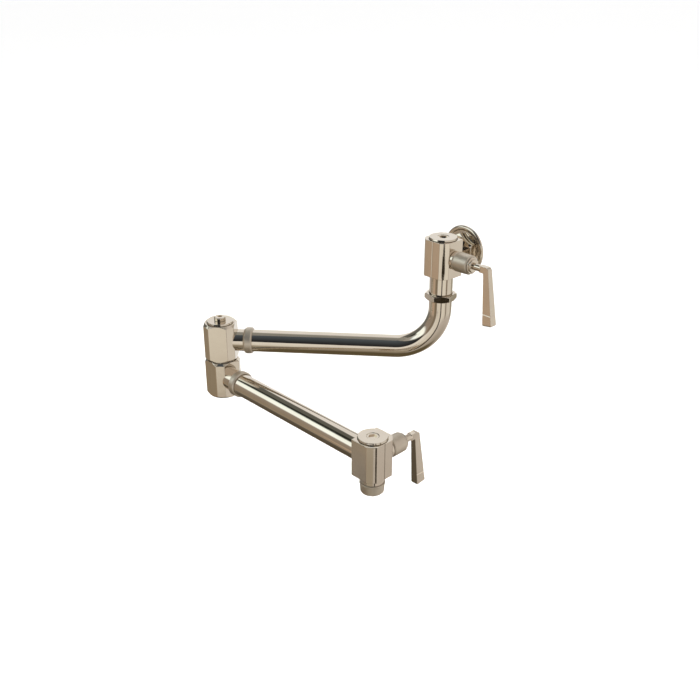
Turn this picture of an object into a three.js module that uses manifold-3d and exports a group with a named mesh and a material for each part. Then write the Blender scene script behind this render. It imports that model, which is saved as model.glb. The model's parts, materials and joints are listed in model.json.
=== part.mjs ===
// Wall mounted pot filler: two swinging tube arms that fold against the wall, with a quarter-turn
// valve at the wall and a second one over the spout.
// Millimetres, +Z up. The origin is on the wall, at the centre of the supply pipe, and the wall
// faces -Y. Each moving group turns about an axis that its own comment names.
import * as THREE from "three";
import { mergeVertices } from "three/addons/utils/BufferGeometryUtils.js";
import Module from "manifold-3d";

const wasm = await Module();
wasm.setup();

// ---------------------------------------------------------------- driving dimensions
const wallToAxis = 36; // wall to the upright axis of the wall valve
const armReach = 246.6; // axis to axis of each arm
const armDrop = 107; // wall valve axis down to the upper arm
const upperArmYaw = -138.6; // heading of the upper arm at rest, degrees from +X
const foldAngle = 41.4; // between the two arms at rest
const tubeDiameter = 25.4;
const tubeWall = 1.5;
const elbowRadius = 48; // centre line of the bend under the wall valve

const runningGap = 0.3; // between a turning piece and its seat
const seatGap = 0.25; // between pieces that are screwed or pressed together
const roundSides = 20; // facets round a large turned piece
const smallSides = 16; // facets round a small one, or round a bore that something turns in
const hiddenSides = 10; // facets round one that nothing shows
const flangeSides = 24;

// Valve body, cut from chamfered bar and the same for both valves.
const bodyHeight = 40.4;
const bodyHalfWidth = 17.4; // axis to the bonnet face, and to the blank face opposite
const bodyFront = 16.8; // axis to the face opposite the inlet
const bodyCornerRadius = 19.5; // the two front corners are turned about the axis
const bodyBevel = 0.4;
const frontGrooveWidth = 1.2;
const frontGrooveDepth = 0.5;
const capDiameter = 31;
const capThickness = 1.8;
const capBevel = 0.5;
const capBossDiameter = 20.4;
const capBossLength = 5;
const capSocket = 8; // across the flats of the key socket
const capSocketDepth = 3.4;
const capDish = 13; // shallow round recess about the socket
const capDishDepth = 0.6;
const capBossRoom = 1.2; // under the boss, in the pocket that takes it

// Quarter-turn ceramic cartridge, along the bonnet axis.
const cartridgeBore = 18;
const cartridgeSeat = -3; // where the bore ends, measured from the upright axis
const cartridgeDiameter = cartridgeBore - 2 * runningGap;
const inletWall = 3; // metal between the cartridge bore and the inlet face
const bodyBack = cartridgeBore / 2 + inletWall; // axis to the inlet face
const sealThickness = 2;
const sealBore = 10.4;
const discDiameter = 13;
const discThickness = 2.6;
const discRim = 1.3; // left outside the ports of a disc
const discCore = 1.8; // radius left inside them
const portHalfAngle = Math.PI / 5;
const driveLength = 3; // the wide end of the stem, which turns the disc
const stemDiameter = 8.4;
const cartridgeHead = 12; // neck of the housing, inside the bonnet
const headReach = 4; // how far that neck goes past the base ring
const windowHalfWidth = 3.6; // side openings of the housing, level with the turning disc
const pocketBore = 10; // behind the cartridge seat, where the water comes in
const pocketDepth = 10;
const feedBore = 6; // from the inlet to that pocket
const feedAt = -9; // where it enters, along the bonnet axis
const feedShift = 3; // how far it leans on its way through the back wall
const outletPort = 9; // drilled down from the cartridge to the threaded port
const outletAt = 3.5; // along the bonnet axis, under the side openings
const bodyPort = 16; // threaded port under the body
const bodyPortDepth = 7;
const inletBore = 15;

// Bonnet and lever.
const bonnetLap = 1; // base ring beyond the bore that it closes
const baseRingDiameter = cartridgeBore + 2 * bonnetLap;
const baseRingEnd = 21.5;
const sleeveDiameter = 21.2;
const sleeveTaper = 0.35; // radius it loses on the way out
const sleeveBevel = 1;
const sleeveEnd = 40;
const collarDiameter = 18;
const collarEnd = 42;
const glandDiameter = 14.4;
const glandEnd = 44;
const spindleDiameter = 4.2;
const trimBevel = 0.6; // broken corners of the rings on the bonnet
const leverInner = 58.2; // upright axis to the inner face of the hanging bar, at its top
const leverFlare = 4.2; // how far the inner face leans out on its way down
const leverThickTop = 6.8;
const leverThickBottom = 11.6;
const leverHeight = 7.2;
const leverHang = 60.5; // bonnet axis down to the end of the bar
const leverEndRise = 2.4; // the end slopes up and is blunted towards its outer edge
const leverEndBlunt = 1.4;
const leverWidthTop = 6;
const leverWidthBottom = 9;
const leverCornerRadius = 4.5;
const leverBoss = 7.4; // round boss between the gland and the cross bar
const leverHub = 52.5; // where the cross bar begins
const leverScrewAt = 55.4; // upright axis to the set screw under the cross bar
const leverSocketDepth = 5.5;
const screwDiameter = 3;
const screwKey = 1.5;
const leverGrooveRise = 13.3; // engraved line above the end
const leverGroove = 0.6;

// Wall union.
const flangeDiameter = 53.4;
const flangeDepth = 2.6;
const unionNutFlats = 35;
const unionNutThickness = 8.4;
const unionNutFront = 25; // from the valve axis towards the wall
const neckDiameter = 24;
const tailCollarDiameter = 29;
const adapterDiameter = 25;
const supplyBore = 18.6; // half-inch pipe thread, cut to its core
const tailCollarThickness = 2;
const tailCollarAt = 2.5; // front of the nut to the collar inside it
const unionWasher = 1.3; // thickness

// Swivel under the wall valve.
const stubStep = 0.2; // stub wider than the tube that hangs from it
const stubDiameter = tubeDiameter + stubStep;
const stubShoulder = 40.8; // valve axis down to where the swivel nut begins
const swivelNutWall = 2.6; // tube to each flat of the nut
const swivelNutFlats = tubeDiameter + 2 * swivelNutWall;
const swivelNutThickness = 7.3;
const threadStep = 1.6; // thread of the stub smaller than the tube
const swivelThread = tubeDiameter - threadStep;
const stubWall = 1.9;
const swivelBore = swivelThread - 2 * stubWall;
const portBore = 11.2; // bore of the threaded end that screws into a valve
const tubeEntry = 4.9; // how far the tube goes into the swivel nut
const keeperLap = 0.75; // split ring outside the tube, all round
const keeperDiameter = tubeDiameter + 2 * keeperLap;
const keeperThickness = 0.7;
const keeperGrooveDepth = 0.7;
const retainerGroove = tubeDiameter - 2 * keeperGrooveDepth;
const tubeLip = 0.7; // tube left above the split ring
const swivelNutTurn = -Math.PI / 12;
const stubFunnel = bodyHeight / 2 + (stubDiameter - bodyPort) / 2; // axis to the stub's wide bore
const spigotRoom = 1; // top of that bore to the spigot inside it
const spigotWall = 3.8;
const spigotInsert = 5; // the part of the spigot that goes into the tube
const spigotGrooveStep = 6;

// Knuckle between the arms: two chamfered square blocks on one spindle.
const knuckleWidth = 35;
const knuckleCorner = 7.1; // leg of the 45 degree corner chamfer
const knuckleHeight = 43.6;
const knuckleGap = 1.4; // between the two blocks, where the washer lies
const armStep = knuckleHeight + knuckleGap; // upper arm down to the lower arm
const knuckleEndRadius = 17.6; // the ends are turned to a 45 degree cone from this radius
const neckStep = 0.4; // tube wider than the neck beside it
const knuckleNeck = tubeDiameter - neckStep;
const knuckleNeckLength = 27.2; // axis to the collar
const neckLap = 5; // shoulder of the neck inside the collar
const neckInsert = 14; // the part of the neck that goes into the tube
const neckWater = 14; // bore of the neck
const knuckleBore = 17;
const knuckleCounterbore = 22;
const counterboreDepth = 12.8;
const knuckleFloor = 9; // lower block: the spindle's bore ends this far under the arm axis
const spindleOuter = knuckleBore - 2 * runningGap;
const spindleBore = 11.6;
const spindleFoot = 8; // lower arm axis up to the end of the spindle, clear of the neck bore
const spindleWindow = 8.5; // cross holes that let the water out of it
const spindleThread = 12;
const spindleThreadLength = 6.8; // above the floor that the washer lies on
const threadEase = 0.6;
const spindleNutFlats = 17.5;
const spindleNutThickness = 4.5;
const spindleWasher = 0.8;
const knuckleScrewHead = 13; // the screw through the cap of the knuckle, which ends over the spindle
const knuckleScrewHeight = 4.1;
const knuckleScrewShank = 8;
const knuckleScrewKey = 5;
const knuckleWasher = 29;
const armCollarWall = 2.3;
const armCollarDiameter = tubeDiameter + 2 * armCollarWall;
const armCollarLength = 9.7;
const armCollarCone = 2; // bevel towards the knuckle
const armCollarBevel = 1.2; // and the one towards the tube

// End plug of the lower arm, screwed to the spout valve.
const plugBore = 11;
const plugRim = 2;
const plugInsert = 8; // the part that goes into the tube
const plugDepth = 1.6; // the spigot in the valve's inlet
const inletRoom = 0.2; // inlet bore deeper than that spigot

// Spout.
const spoutNeckDiameter = 24;
const aeratorDiameter = 26;
const aeratorTaper = 24;
const aeratorLength = 12;
const aeratorTop = 28.8; // valve axis down to the top of the spout ring
const spoutThread = 18.6;
const spoutThreadLength = 4.4;
const spoutBore = 13.2;
const aeratorWasher = 1.2;
const aeratorMouth = 16.8;
const aeratorBevel = 0.4;
const aeratorBand = 1.6; // plain band round its top
const aeratorEndBevel = 1.4;
const aeratorSlots = 10; // round the lower edge, for a key
const aeratorSlotWidth = 1.6;
const aeratorSlotDepth = 1.2;
const insertFlange = 18.4;
const insertBody = 16;
const insertRim = 1.2;
const insertSetBack = 0.4;
const jetBore = 1.7;
const jetRing = 4.8; // radius of the ring of six jets about the middle one

const oRingSection = 1.2; // each lies in a groove as deep as its section
const oRingEase = 0.1; // groove floor to ring
const grooveHalfWidth = 1.1;
const ringSectionSides = 5;

// ---------------------------------------------------------------- materials
function finish(name, color, roughness, metalness) {
  const made = new THREE.MeshStandardMaterial({ color, roughness, metalness });
  made.name = name;
  return made;
}
const polishedNickel = finish("polished_nickel", "#cfc3b0", 0.12, 1);
const knurledNickel = finish("knurled_nickel", "#a89c8e", 0.42, 1);
const brass = finish("brass", "#b08d4f", 0.35, 1);
const steel = finish("spring_steel", "#9a9a98", 0.35, 1);
const ceramic = finish("ceramic", "#e8e4da", 0.3, 0);
const rubber = finish("rubber", "#232323", 0.8, 0);
const plastic = finish("white_plastic", "#dcdcd6", 0.5, 0);

// ---------------------------------------------------------------- solids
// A closed geometry as a solid, turned the right way out.
function solidOf(geometry) {
  const bare = geometry.clone();
  bare.deleteAttribute("normal");
  bare.deleteAttribute("uv");
  const merged = mergeVertices(bare, 1e-4);
  const vertProperties = new Float32Array(merged.attributes.position.array);
  const triVerts = new Uint32Array(merged.index.array);
  const made = new wasm.Manifold(new wasm.Mesh({ numProp: 3, vertProperties, triVerts }));
  if (made.volume() > 0) return made;
  for (let i = 0; i < triVerts.length; i += 3) {
    [triVerts[i + 1], triVerts[i + 2]] = [triVerts[i + 2], triVerts[i + 1]];
  }
  return new wasm.Manifold(new wasm.Mesh({ numProp: 3, vertProperties, triVerts }));
}

function geometryOf(solid) {
  const mesh = solid.getMesh();
  const indexed = new THREE.BufferGeometry();
  indexed.setAttribute("position", new THREE.BufferAttribute(mesh.vertProperties, 3));
  indexed.setIndex(new THREE.BufferAttribute(mesh.triVerts, 1));
  const flat = indexed.toNonIndexed();
  flat.computeVertexNormals();
  return flat;
}

function join(...pieces) {
  return geometryOf(pieces.map(solidOf).reduce((all, one) => all.add(one)));
}

function cut(piece, ...tools) {
  return geometryOf(tools.map(solidOf).reduce((left, tool) => left.subtract(tool), solidOf(piece)));
}

function common(piece, other) {
  return geometryOf(solidOf(piece).intersect(solidOf(other)));
}

// A profile of [radius, height] points, in either order, turned about +Z. One that leaves the axis
// closes on itself.
function turned(profile, sides = roundSides) {
  const points = profile.map(([radius, height]) => new THREE.Vector2(radius, height));
  if (THREE.ShapeUtils.area(points) < 0) points.reverse();
  const onAxis = points[0].x === 0 && points.at(-1).x === 0;
  if (!onAxis) points.push(points[0].clone());
  return new THREE.LatheGeometry(points, sides).rotateX(Math.PI / 2);
}

function rod(diameter, from, to, sides = roundSides) {
  const radius = diameter / 2;
  return turned([[0, from], [radius, from], [radius, to], [0, to]], sides);
}

function ring(outer, inner, from, to, sides = roundSides) {
  const ro = outer / 2;
  const ri = inner / 2;
  return turned([[ri, from], [ro, from], [ro, to], [ri, to]], sides);
}

// A ring with its outer corners broken at 45 degrees.
function bevelledRing(outer, inner, from, to, bevel, sides = roundSides) {
  const ro = outer / 2;
  const ri = inner / 2;
  const profile = [
    [ri, from],
    [ro - bevel, from],
    [ro, from + bevel],
    [ro, to - bevel],
    [ro - bevel, to],
    [ri, to],
  ];
  return turned(profile, sides);
}

// The rubber ring in a groove of the given floor diameter, centred at a height on the Z axis.
function rubberRing(grooveDiameter, height) {
  const section = oRingSection / 2;
  const centre = grooveDiameter / 2 + oRingEase + section;
  const made = new THREE.TorusGeometry(centre, section, ringSectionSides, hiddenSides);
  return made.rotateZ(Math.PI / 2).translate(0, 0, height); // its facets meet those of the groove
}

function block(x0, x1, y0, y1, z0, z1) {
  const made = new THREE.BoxGeometry(x1 - x0, y1 - y0, z1 - z0);
  return made.translate((x0 + x1) / 2, (y0 + y1) / 2, (z0 + z1) / 2);
}

// An outline in the XY plane, raised from one height to another, with an optional edge bevel.
function prism(shape, from, to, bevel = 0) {
  const made = new THREE.ExtrudeGeometry(shape, {
    depth: to - from - 2 * bevel,
    bevelEnabled: bevel > 0,
    bevelSize: bevel,
    bevelThickness: bevel,
    bevelOffset: -bevel,
    bevelSegments: 1,
    curveSegments: 4,
  });
  return made.translate(0, 0, from + bevel);
}

function hexagon(acrossFlats, turn = 0) {
  const corner = acrossFlats / Math.sqrt(3);
  const shape = new THREE.Shape();
  for (let i = 0; i < 6; i += 1) {
    const angle = turn + (i * Math.PI) / 3;
    const x = corner * Math.cos(angle);
    const y = corner * Math.sin(angle);
    if (i === 0) shape.moveTo(x, y);
    else shape.lineTo(x, y);
  }
  shape.closePath();
  return shape;
}

// A hexagon nut along +Z with its corners turned off at both ends, before its bore is cut.
function nutBlank(acrossFlats, from, to, turn) {
  const corner = acrossFlats / Math.sqrt(3);
  const flat = acrossFlats / 2;
  const fall = (corner - flat) * 0.6;
  const turnedEnds = turned([
    [0, from],
    [flat, from],
    [corner, from + fall],
    [corner, to - fall],
    [flat, to],
    [0, to],
  ]);
  return common(prism(hexagon(acrossFlats, turn), from, to), turnedEnds);
}

// Turns a piece made along +Z so that it lies along +X or +Y.
function alongX(geometry) {
  return geometry.rotateY(Math.PI / 2);
}

function alongY(geometry) {
  return geometry.rotateX(-Math.PI / 2);
}

function add(group, name, geometry, material) {
  const mesh = new THREE.Mesh(geometry, material);
  mesh.name = name;
  group.add(mesh);
  return mesh;
}

// ---------------------------------------------------------------- valve body
// In the valve's own frame the bonnet points along +X, the inlet along +Y, and the front is -Y.
function bodyOutline() {
  const crease = Math.sqrt(bodyCornerRadius ** 2 - bodyHalfWidth ** 2);
  const frontCrease = Math.sqrt(bodyCornerRadius ** 2 - bodyFront ** 2);
  const groove = frontGrooveWidth / 2;
  const sideAngle = Math.atan2(-crease, bodyHalfWidth);
  const frontAngle = Math.atan2(-bodyFront, frontCrease);
  const shape = new THREE.Shape();
  shape.moveTo(bodyHalfWidth, bodyBack);
  shape.lineTo(-bodyHalfWidth, bodyBack);
  shape.lineTo(-bodyHalfWidth, -crease);
  shape.absarc(0, 0, bodyCornerRadius, Math.PI - sideAngle, Math.PI - frontAngle, false);
  shape.lineTo(-groove, -bodyFront);
  shape.lineTo(0, -bodyFront + frontGrooveDepth);
  shape.lineTo(groove, -bodyFront);
  shape.lineTo(frontCrease, -bodyFront);
  shape.absarc(0, 0, bodyCornerRadius, frontAngle, sideAngle, false);
  shape.closePath();
  return shape;
}

function valveBody(withNeck) {
  const half = bodyHeight / 2;
  let body = prism(bodyOutline(), -half, half, bodyBevel);
  if (withNeck) {
    const collarFrom = unionNutFront + tailCollarAt;
    const neck = alongY(rod(neckDiameter, 0, collarFrom + tailCollarThickness / 2));
    const collar = alongY(rod(tailCollarDiameter, collarFrom, collarFrom + tailCollarThickness));
    body = join(body, neck, collar);
  }
  const inletEnd = withNeck ? unionNutFront + unionNutThickness : bodyBack;
  const inletFloor = bodyBack - plugDepth - inletRoom;
  const feedLean = Math.atan2(feedShift, bodyBack);
  const feedHole = alongY(rod(feedBore, 0, inletFloor + 2 * inletRoom, hiddenSides));
  const feed = feedHole.rotateZ(-feedLean).translate(feedAt, 0, 0);
  return cut(
    body,
    alongX(rod(cartridgeBore, cartridgeSeat, bodyHalfWidth + 1)),
    alongX(rod(pocketBore, cartridgeSeat - pocketDepth, cartridgeSeat + 1, hiddenSides)),
    alongY(rod(inletBore, inletFloor, inletEnd + 1)),
    feed,
    rod(outletPort, -half - 1, -cartridgeBore / 2 + 1, hiddenSides).translate(outletAt, 0, 0),
    rod(bodyPort, -half - 1, -half + bodyPortDepth),
    rod(capBossDiameter + 2 * seatGap, half - capBossLength - capBossRoom, half + 1),
  );
}

// The disc that closes a body from above, with its top at a given height.
function capBlank(top, dish) {
  const seat = top - capThickness;
  return turned([
    [0, seat - capBossLength],
    [capBossDiameter / 2, seat - capBossLength],
    [capBossDiameter / 2, seat],
    [capDiameter / 2, seat],
    [capDiameter / 2, top - capBevel],
    [capDiameter / 2 - capBevel, top],
    ...dish,
  ]);
}

function valveCap() {
  const top = bodyHeight / 2 + runningGap + capThickness;
  const floor = top - capDishDepth;
  const cap = capBlank(top, [[capDish / 2, top], [capDish / 2 - capDishDepth, floor], [0, floor]]);
  return cut(cap, prism(hexagon(capSocket), top - capSocketDepth, top));
}

// ---------------------------------------------------------------- cartridge
// Two opposite ports, each a little less than a quarter of a circle.
function portedDisc(from, to, turn) {
  const disc = rod(discDiameter, from, to, hiddenSides);
  const port = new THREE.Shape();
  const outer = discDiameter / 2 - discRim;
  port.absarc(0, 0, outer, -portHalfAngle, portHalfAngle, false);
  port.absarc(0, 0, discCore, portHalfAngle, -portHalfAngle, true);
  port.closePath();
  const hole = prism(port, from - 1, to + 1);
  return cut(disc, hole.clone().rotateZ(turn), hole.rotateZ(turn + Math.PI));
}

function addCartridge(fixed, turning, prefix) {
  const sealFrom = cartridgeSeat + runningGap;
  const sealTo = sealFrom + sealThickness;
  const bodyFrom = sealTo + seatGap;
  const fixedDiscFrom = bodyFrom;
  const turningDiscFrom = fixedDiscFrom + discThickness + runningGap;
  const driveFrom = turningDiscFrom + discThickness + runningGap;
  const innerBore = discDiameter + 2 * seatGap;
  const shoulder = driveFrom + driveLength;
  const stemBore = stemDiameter + 2 * runningGap;
  const headEnd = baseRingEnd + headReach;

  add(
    fixed,
    `${prefix}_cartridge_seal`,
    alongX(ring(cartridgeDiameter, sealBore, sealFrom, sealTo, hiddenSides)),
    rubber,
  );

  const housing = turned([
    [innerBore / 2, bodyFrom],
    [cartridgeDiameter / 2, bodyFrom],
    [cartridgeDiameter / 2, bodyHalfWidth],
    [cartridgeHead / 2, bodyHalfWidth],
    [cartridgeHead / 2, headEnd],
    [stemBore / 2, headEnd],
    [stemBore / 2, shoulder],
    [innerBore / 2, shoulder],
  ], smallSides);
  const sill = 0.5; // metal left above and below the openings
  const windowFrom = turningDiscFrom + sill;
  const windowTo = shoulder - sill;
  const wide = cartridgeDiameter;
  const windows = block(-wide, wide, -windowHalfWidth, windowHalfWidth, windowFrom, windowTo);
  add(fixed, `${prefix}_cartridge_housing`, alongX(cut(housing, windows)), brass);

  add(
    fixed,
    `${prefix}_fixed_disc`,
    alongX(portedDisc(fixedDiscFrom, fixedDiscFrom + discThickness, 0)),
    ceramic,
  );
  add(
    turning,
    `${prefix}_turning_disc`,
    alongX(portedDisc(turningDiscFrom, turningDiscFrom + discThickness, Math.PI / 2)),
    ceramic,
  );

  const grooveAt = headEnd - headReach + grooveHalfWidth;
  const grooveDiameter = stemDiameter - 2 * oRingSection;
  const stemTip = leverHub + leverSocketDepth;
  const stem = turned([
    [0, driveFrom],
    [discDiameter / 2, driveFrom],
    [discDiameter / 2, shoulder - runningGap],
    [stemDiameter / 2, shoulder - runningGap],
    [stemDiameter / 2, grooveAt - grooveHalfWidth],
    [grooveDiameter / 2, grooveAt - grooveHalfWidth],
    [grooveDiameter / 2, grooveAt + grooveHalfWidth],
    [stemDiameter / 2, grooveAt + grooveHalfWidth],
    [stemDiameter / 2, headEnd + 1],
    [spindleDiameter / 2, headEnd + 3],
    [spindleDiameter / 2, stemTip],
    [0, stemTip],
  ], hiddenSides);
  add(turning, `${prefix}_stem`, alongX(stem), polishedNickel);
  add(
    turning,
    `${prefix}_stem_o_ring`,
    alongX(rubberRing(grooveDiameter, grooveAt)),
    rubber,
  );

  const headBore = cartridgeHead + 2 * seatGap;
  const ringFrom = bodyHalfWidth + seatGap;
  add(
    fixed,
    `${prefix}_bonnet_base_ring`,
    alongX(bevelledRing(baseRingDiameter, headBore, ringFrom, baseRingEnd, trimBevel)),
    polishedNickel,
  );
  const sleeveFrom = baseRingEnd + seatGap;
  const sleeve = turned([
    [headBore / 2, sleeveFrom],
    [sleeveDiameter / 2 - sleeveBevel, sleeveFrom],
    [sleeveDiameter / 2, sleeveFrom + sleeveBevel],
    [sleeveDiameter / 2 - sleeveTaper, sleeveEnd - sleeveBevel],
    [sleeveDiameter / 2 - sleeveTaper - sleeveBevel, sleeveEnd],
    [stemBore / 2, sleeveEnd],
    [stemBore / 2, headEnd + seatGap],
    [headBore / 2, headEnd + seatGap],
  ]);
  add(fixed, `${prefix}_bonnet_sleeve`, alongX(sleeve), knurledNickel);

  const glandFrom = sleeveEnd + seatGap;
  const gland = turned([
    [spindleDiameter / 2 + runningGap, glandFrom],
    [collarDiameter / 2 - trimBevel, glandFrom],
    [collarDiameter / 2, glandFrom + trimBevel],
    [collarDiameter / 2, collarEnd - trimBevel],
    [collarDiameter / 2 - trimBevel, collarEnd],
    [glandDiameter / 2, collarEnd],
    [glandDiameter / 2, glandEnd - trimBevel],
    [glandDiameter / 2 - trimBevel, glandEnd],
    [spindleDiameter / 2 + runningGap, glandEnd],
  ], smallSides);
  add(fixed, `${prefix}_gland_nut`, alongX(gland), polishedNickel);
}

// ---------------------------------------------------------------- lever
// A round boss on the stem, a short square cross bar, and a long bar that hangs from it and grows
// thicker downwards. It turns about the bonnet axis.
function lever() {
  const top = leverHeight / 2;
  const half = leverWidthBottom / 2;
  const outerTop = leverInner + leverThickTop;
  const outerBottom = leverInner + leverFlare + leverThickBottom;
  const side = new THREE.Shape();
  side.moveTo(leverHub, -top);
  side.lineTo(leverHub, top);
  side.lineTo(outerTop - leverCornerRadius, top);
  const bend = [outerTop - leverCornerRadius, top - leverCornerRadius];
  side.absarc(...bend, leverCornerRadius, Math.PI / 2, 0, true);
  side.lineTo(outerBottom, -leverHang + leverEndRise);
  side.lineTo(outerBottom - leverEndBlunt, -leverHang + leverEndRise - leverEndBlunt);
  side.lineTo(leverInner + leverFlare, -leverHang);
  side.lineTo(leverInner, -top - 1);
  side.lineTo(leverInner - 1, -top);
  side.closePath();
  // The outline is drawn as X across and Z up, and stands up about the X axis.
  const slab = prism(side, -half, half).rotateX(Math.PI / 2);

  const front = new THREE.Shape();
  front.moveTo(-leverWidthTop / 2, top + 1);
  front.lineTo(leverWidthTop / 2, top + 1);
  front.lineTo(half, -leverHang - 1);
  front.lineTo(-half, -leverHang - 1);
  front.closePath();
  // Drawn as Y across and Z up, and carried along X.
  const taper = prism(front, leverHub - 1, outerBottom + 1);
  const bar = common(slab, taper.rotateZ(Math.PI / 2).rotateY(Math.PI / 2));

  const grooveAt = -leverHang + leverGrooveRise;
  const bite = leverGroove / 2;
  const from = grooveAt - bite;
  const to = grooveAt + bite;
  const notch = half - bite;
  const grooves = [
    block(leverHub, outerBottom + 1, notch, 2 * half, from, to),
    block(leverHub, outerBottom + 1, -2 * half, -notch, from, to),
    block(outerBottom - 2 * bite, outerBottom + 1, -2 * half, 2 * half, from, to),
  ];
  const bossFrom = glandEnd + runningGap;
  const boss = alongX(rod(leverBoss, bossFrom, leverHub + 1, smallSides));
  const socketEnd = leverHub + leverSocketDepth + seatGap;
  const socketBore = spindleDiameter + 2 * seatGap;
  const socket = alongX(rod(socketBore, bossFrom - 1, socketEnd, hiddenSides));
  const screwHole = rod(screwDiameter + 2 * seatGap, -top - 1, 0, hiddenSides);
  return cut(join(bar, boss), ...grooves, socket, screwHole.translate(leverScrewAt, 0, 0));
}

function leverScrew() {
  const top = -spindleDiameter / 2 - seatGap;
  const bottom = -leverHeight / 2;
  const screw = rod(screwDiameter, bottom, top, hiddenSides);
  const key = prism(hexagon(screwKey), bottom - 1, (bottom + top) / 2);
  return cut(screw, key).translate(leverScrewAt, 0, 0);
}

// A whole valve: the pieces fixed to the body go in one group, and what the lever turns in another.
function addValve(fixed, prefix, withNeck) {
  const turning = new THREE.Group();
  fixed.add(turning);
  add(fixed, `${prefix}_valve_body`, valveBody(withNeck), polishedNickel);
  add(fixed, `${prefix}_valve_cap`, valveCap(), polishedNickel);
  addCartridge(fixed, turning, prefix);
  add(turning, `${prefix}_lever`, lever(), polishedNickel);
  add(turning, `${prefix}_lever_screw`, leverScrew(), steel);
}

// ---------------------------------------------------------------- wall union
function addWallUnion(group) {
  const nutTo = unionNutFront + unionNutThickness;
  const lip = tailCollarAt - seatGap;
  const collarBack = unionNutFront + tailCollarAt + tailCollarThickness;
  const threadBore = tailCollarDiameter + 2 * seatGap;
  const blank = nutBlank(unionNutFlats, unionNutFront, nutTo, 0);
  const nut = cut(
    blank,
    rod(neckDiameter + 2 * seatGap, unionNutFront - 1, nutTo + 1),
    rod(threadBore, unionNutFront + lip, nutTo + 1),
  );
  add(group, "union_nut", alongY(nut), polishedNickel);

  const washerFrom = collarBack + seatGap;
  const washerTo = washerFrom + unionWasher;
  const washer = ring(tailCollarDiameter - 1, inletBore + 1, washerFrom, washerTo, hiddenSides);
  add(group, "union_washer", alongY(washer), rubber);

  const adapterFrom = washerTo + seatGap;
  const adapter = turned([
    [inletBore / 2, adapterFrom],
    [tailCollarDiameter / 2, adapterFrom],
    [tailCollarDiameter / 2, nutTo - 0.2],
    [adapterDiameter / 2, nutTo - 0.2],
    [adapterDiameter / 2, wallToAxis],
    [supplyBore / 2, wallToAxis],
    [supplyBore / 2, adapterFrom + 1.6],
    [inletBore / 2, adapterFrom + 1.6],
  ], hiddenSides);
  add(group, "supply_adapter", alongY(adapter), brass);

  const outer = flangeDiameter / 2;
  const front = wallToAxis - flangeDepth;
  const hub = adapterDiameter / 2 + runningGap;
  const flange = turned([
    [hub, wallToAxis],
    [hub, nutTo + runningGap],
    [outer - 6.2, front + 0.7],
    [outer - 5.4, front + 1.1],
    [outer - 4.6, front + 0.3],
    [outer - 3.2, front],
    [outer - 1.2, front + 0.2],
    [outer, front + 1],
    [outer - 0.4, wallToAxis],
  ], flangeSides);
  add(group, "wall_flange", alongY(flange), polishedNickel);
}

// ---------------------------------------------------------------- swivel under the wall valve
function addSwivelStub(group) {
  const half = bodyHeight / 2;
  const portTop = -half + bodyPortDepth - runningGap;
  const nutTop = -stubShoulder;
  const nutBottom = nutTop - swivelNutThickness;
  const threadEnd = tubeTop + runningGap; // and where the nut widens for the tube
  const stub = turned([
    [portBore / 2, portTop],
    [bodyPort / 2 - seatGap, portTop],
    [bodyPort / 2 - seatGap, -half - seatGap],
    [stubDiameter / 2, -half - seatGap],
    [stubDiameter / 2, nutTop + seatGap],
    [swivelThread / 2, nutTop + seatGap],
    [swivelThread / 2, threadEnd],
    [swivelBore / 2, threadEnd],
    [swivelBore / 2, -stubFunnel],
    [portBore / 2, -stubFunnel],
  ]);
  add(group, "swivel_stub", stub, polishedNickel);

  const keeperFloor = keeperTop - keeperThickness - runningGap;
  const blank = nutBlank(swivelNutFlats, nutBottom, nutTop, swivelNutTurn);
  const nut = cut(
    blank,
    rod(swivelThread + 2 * seatGap, nutBottom, nutTop + 1),
    rod(keeperDiameter + 2 * runningGap, keeperFloor, threadEnd),
    rod(tubeDiameter + 2 * runningGap, nutBottom - 1, threadEnd),
  );
  add(group, "swivel_nut", nut, polishedNickel);
}

// ---------------------------------------------------------------- arm tubes
const tubeBore = tubeDiameter - 2 * tubeWall;
const tubeEnd = knuckleNeckLength + neckLap; // knuckle axis to the near end of either arm tube
const tubeTop = -(stubShoulder + tubeEntry); // the upper tube's end inside the swivel nut
const keeperTop = tubeTop - tubeLip; // the split ring there hangs the arm in the nut
const bendTop = -armDrop + elbowRadius;

// A quarter bend that starts downwards at the origin and ends heading along +X.
class QuarterBend extends THREE.Curve {
  getPoint(t, target = new THREE.Vector3()) {
    const angle = (t * Math.PI) / 2;
    const across = elbowRadius * (1 - Math.cos(angle));
    return target.set(across, 0, -elbowRadius * Math.sin(angle));
  }
}

function tubeSection() {
  const section = new THREE.Shape();
  section.absarc(0, 0, tubeDiameter / 2, 0, 2 * Math.PI, false);
  const bore = new THREE.Path();
  bore.absarc(0, 0, tubeBore / 2, 0, 2 * Math.PI, true);
  section.holes.push(bore);
  return section;
}

function upperTube() {
  const bend = new THREE.ExtrudeGeometry(tubeSection(), {
    steps: 8,
    curveSegments: roundSides / 2,
    extrudePath: new QuarterBend(),
  });
  const lap = 0.05; // the straight runs reach this far into the bend, so that all three join
  const down = ring(tubeDiameter, tubeBore, bendTop - lap, tubeTop);
  const along = alongX(ring(tubeDiameter, tubeBore, elbowRadius - lap, armReach - tubeEnd));
  const whole = join(bend.translate(0, 0, bendTop), down, along.translate(0, 0, -armDrop));
  const grooveFrom = keeperTop - keeperThickness - seatGap;
  const groove = ring(tubeDiameter + 2, retainerGroove, grooveFrom, keeperTop + seatGap);
  return cut(whole, groove);
}

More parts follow.
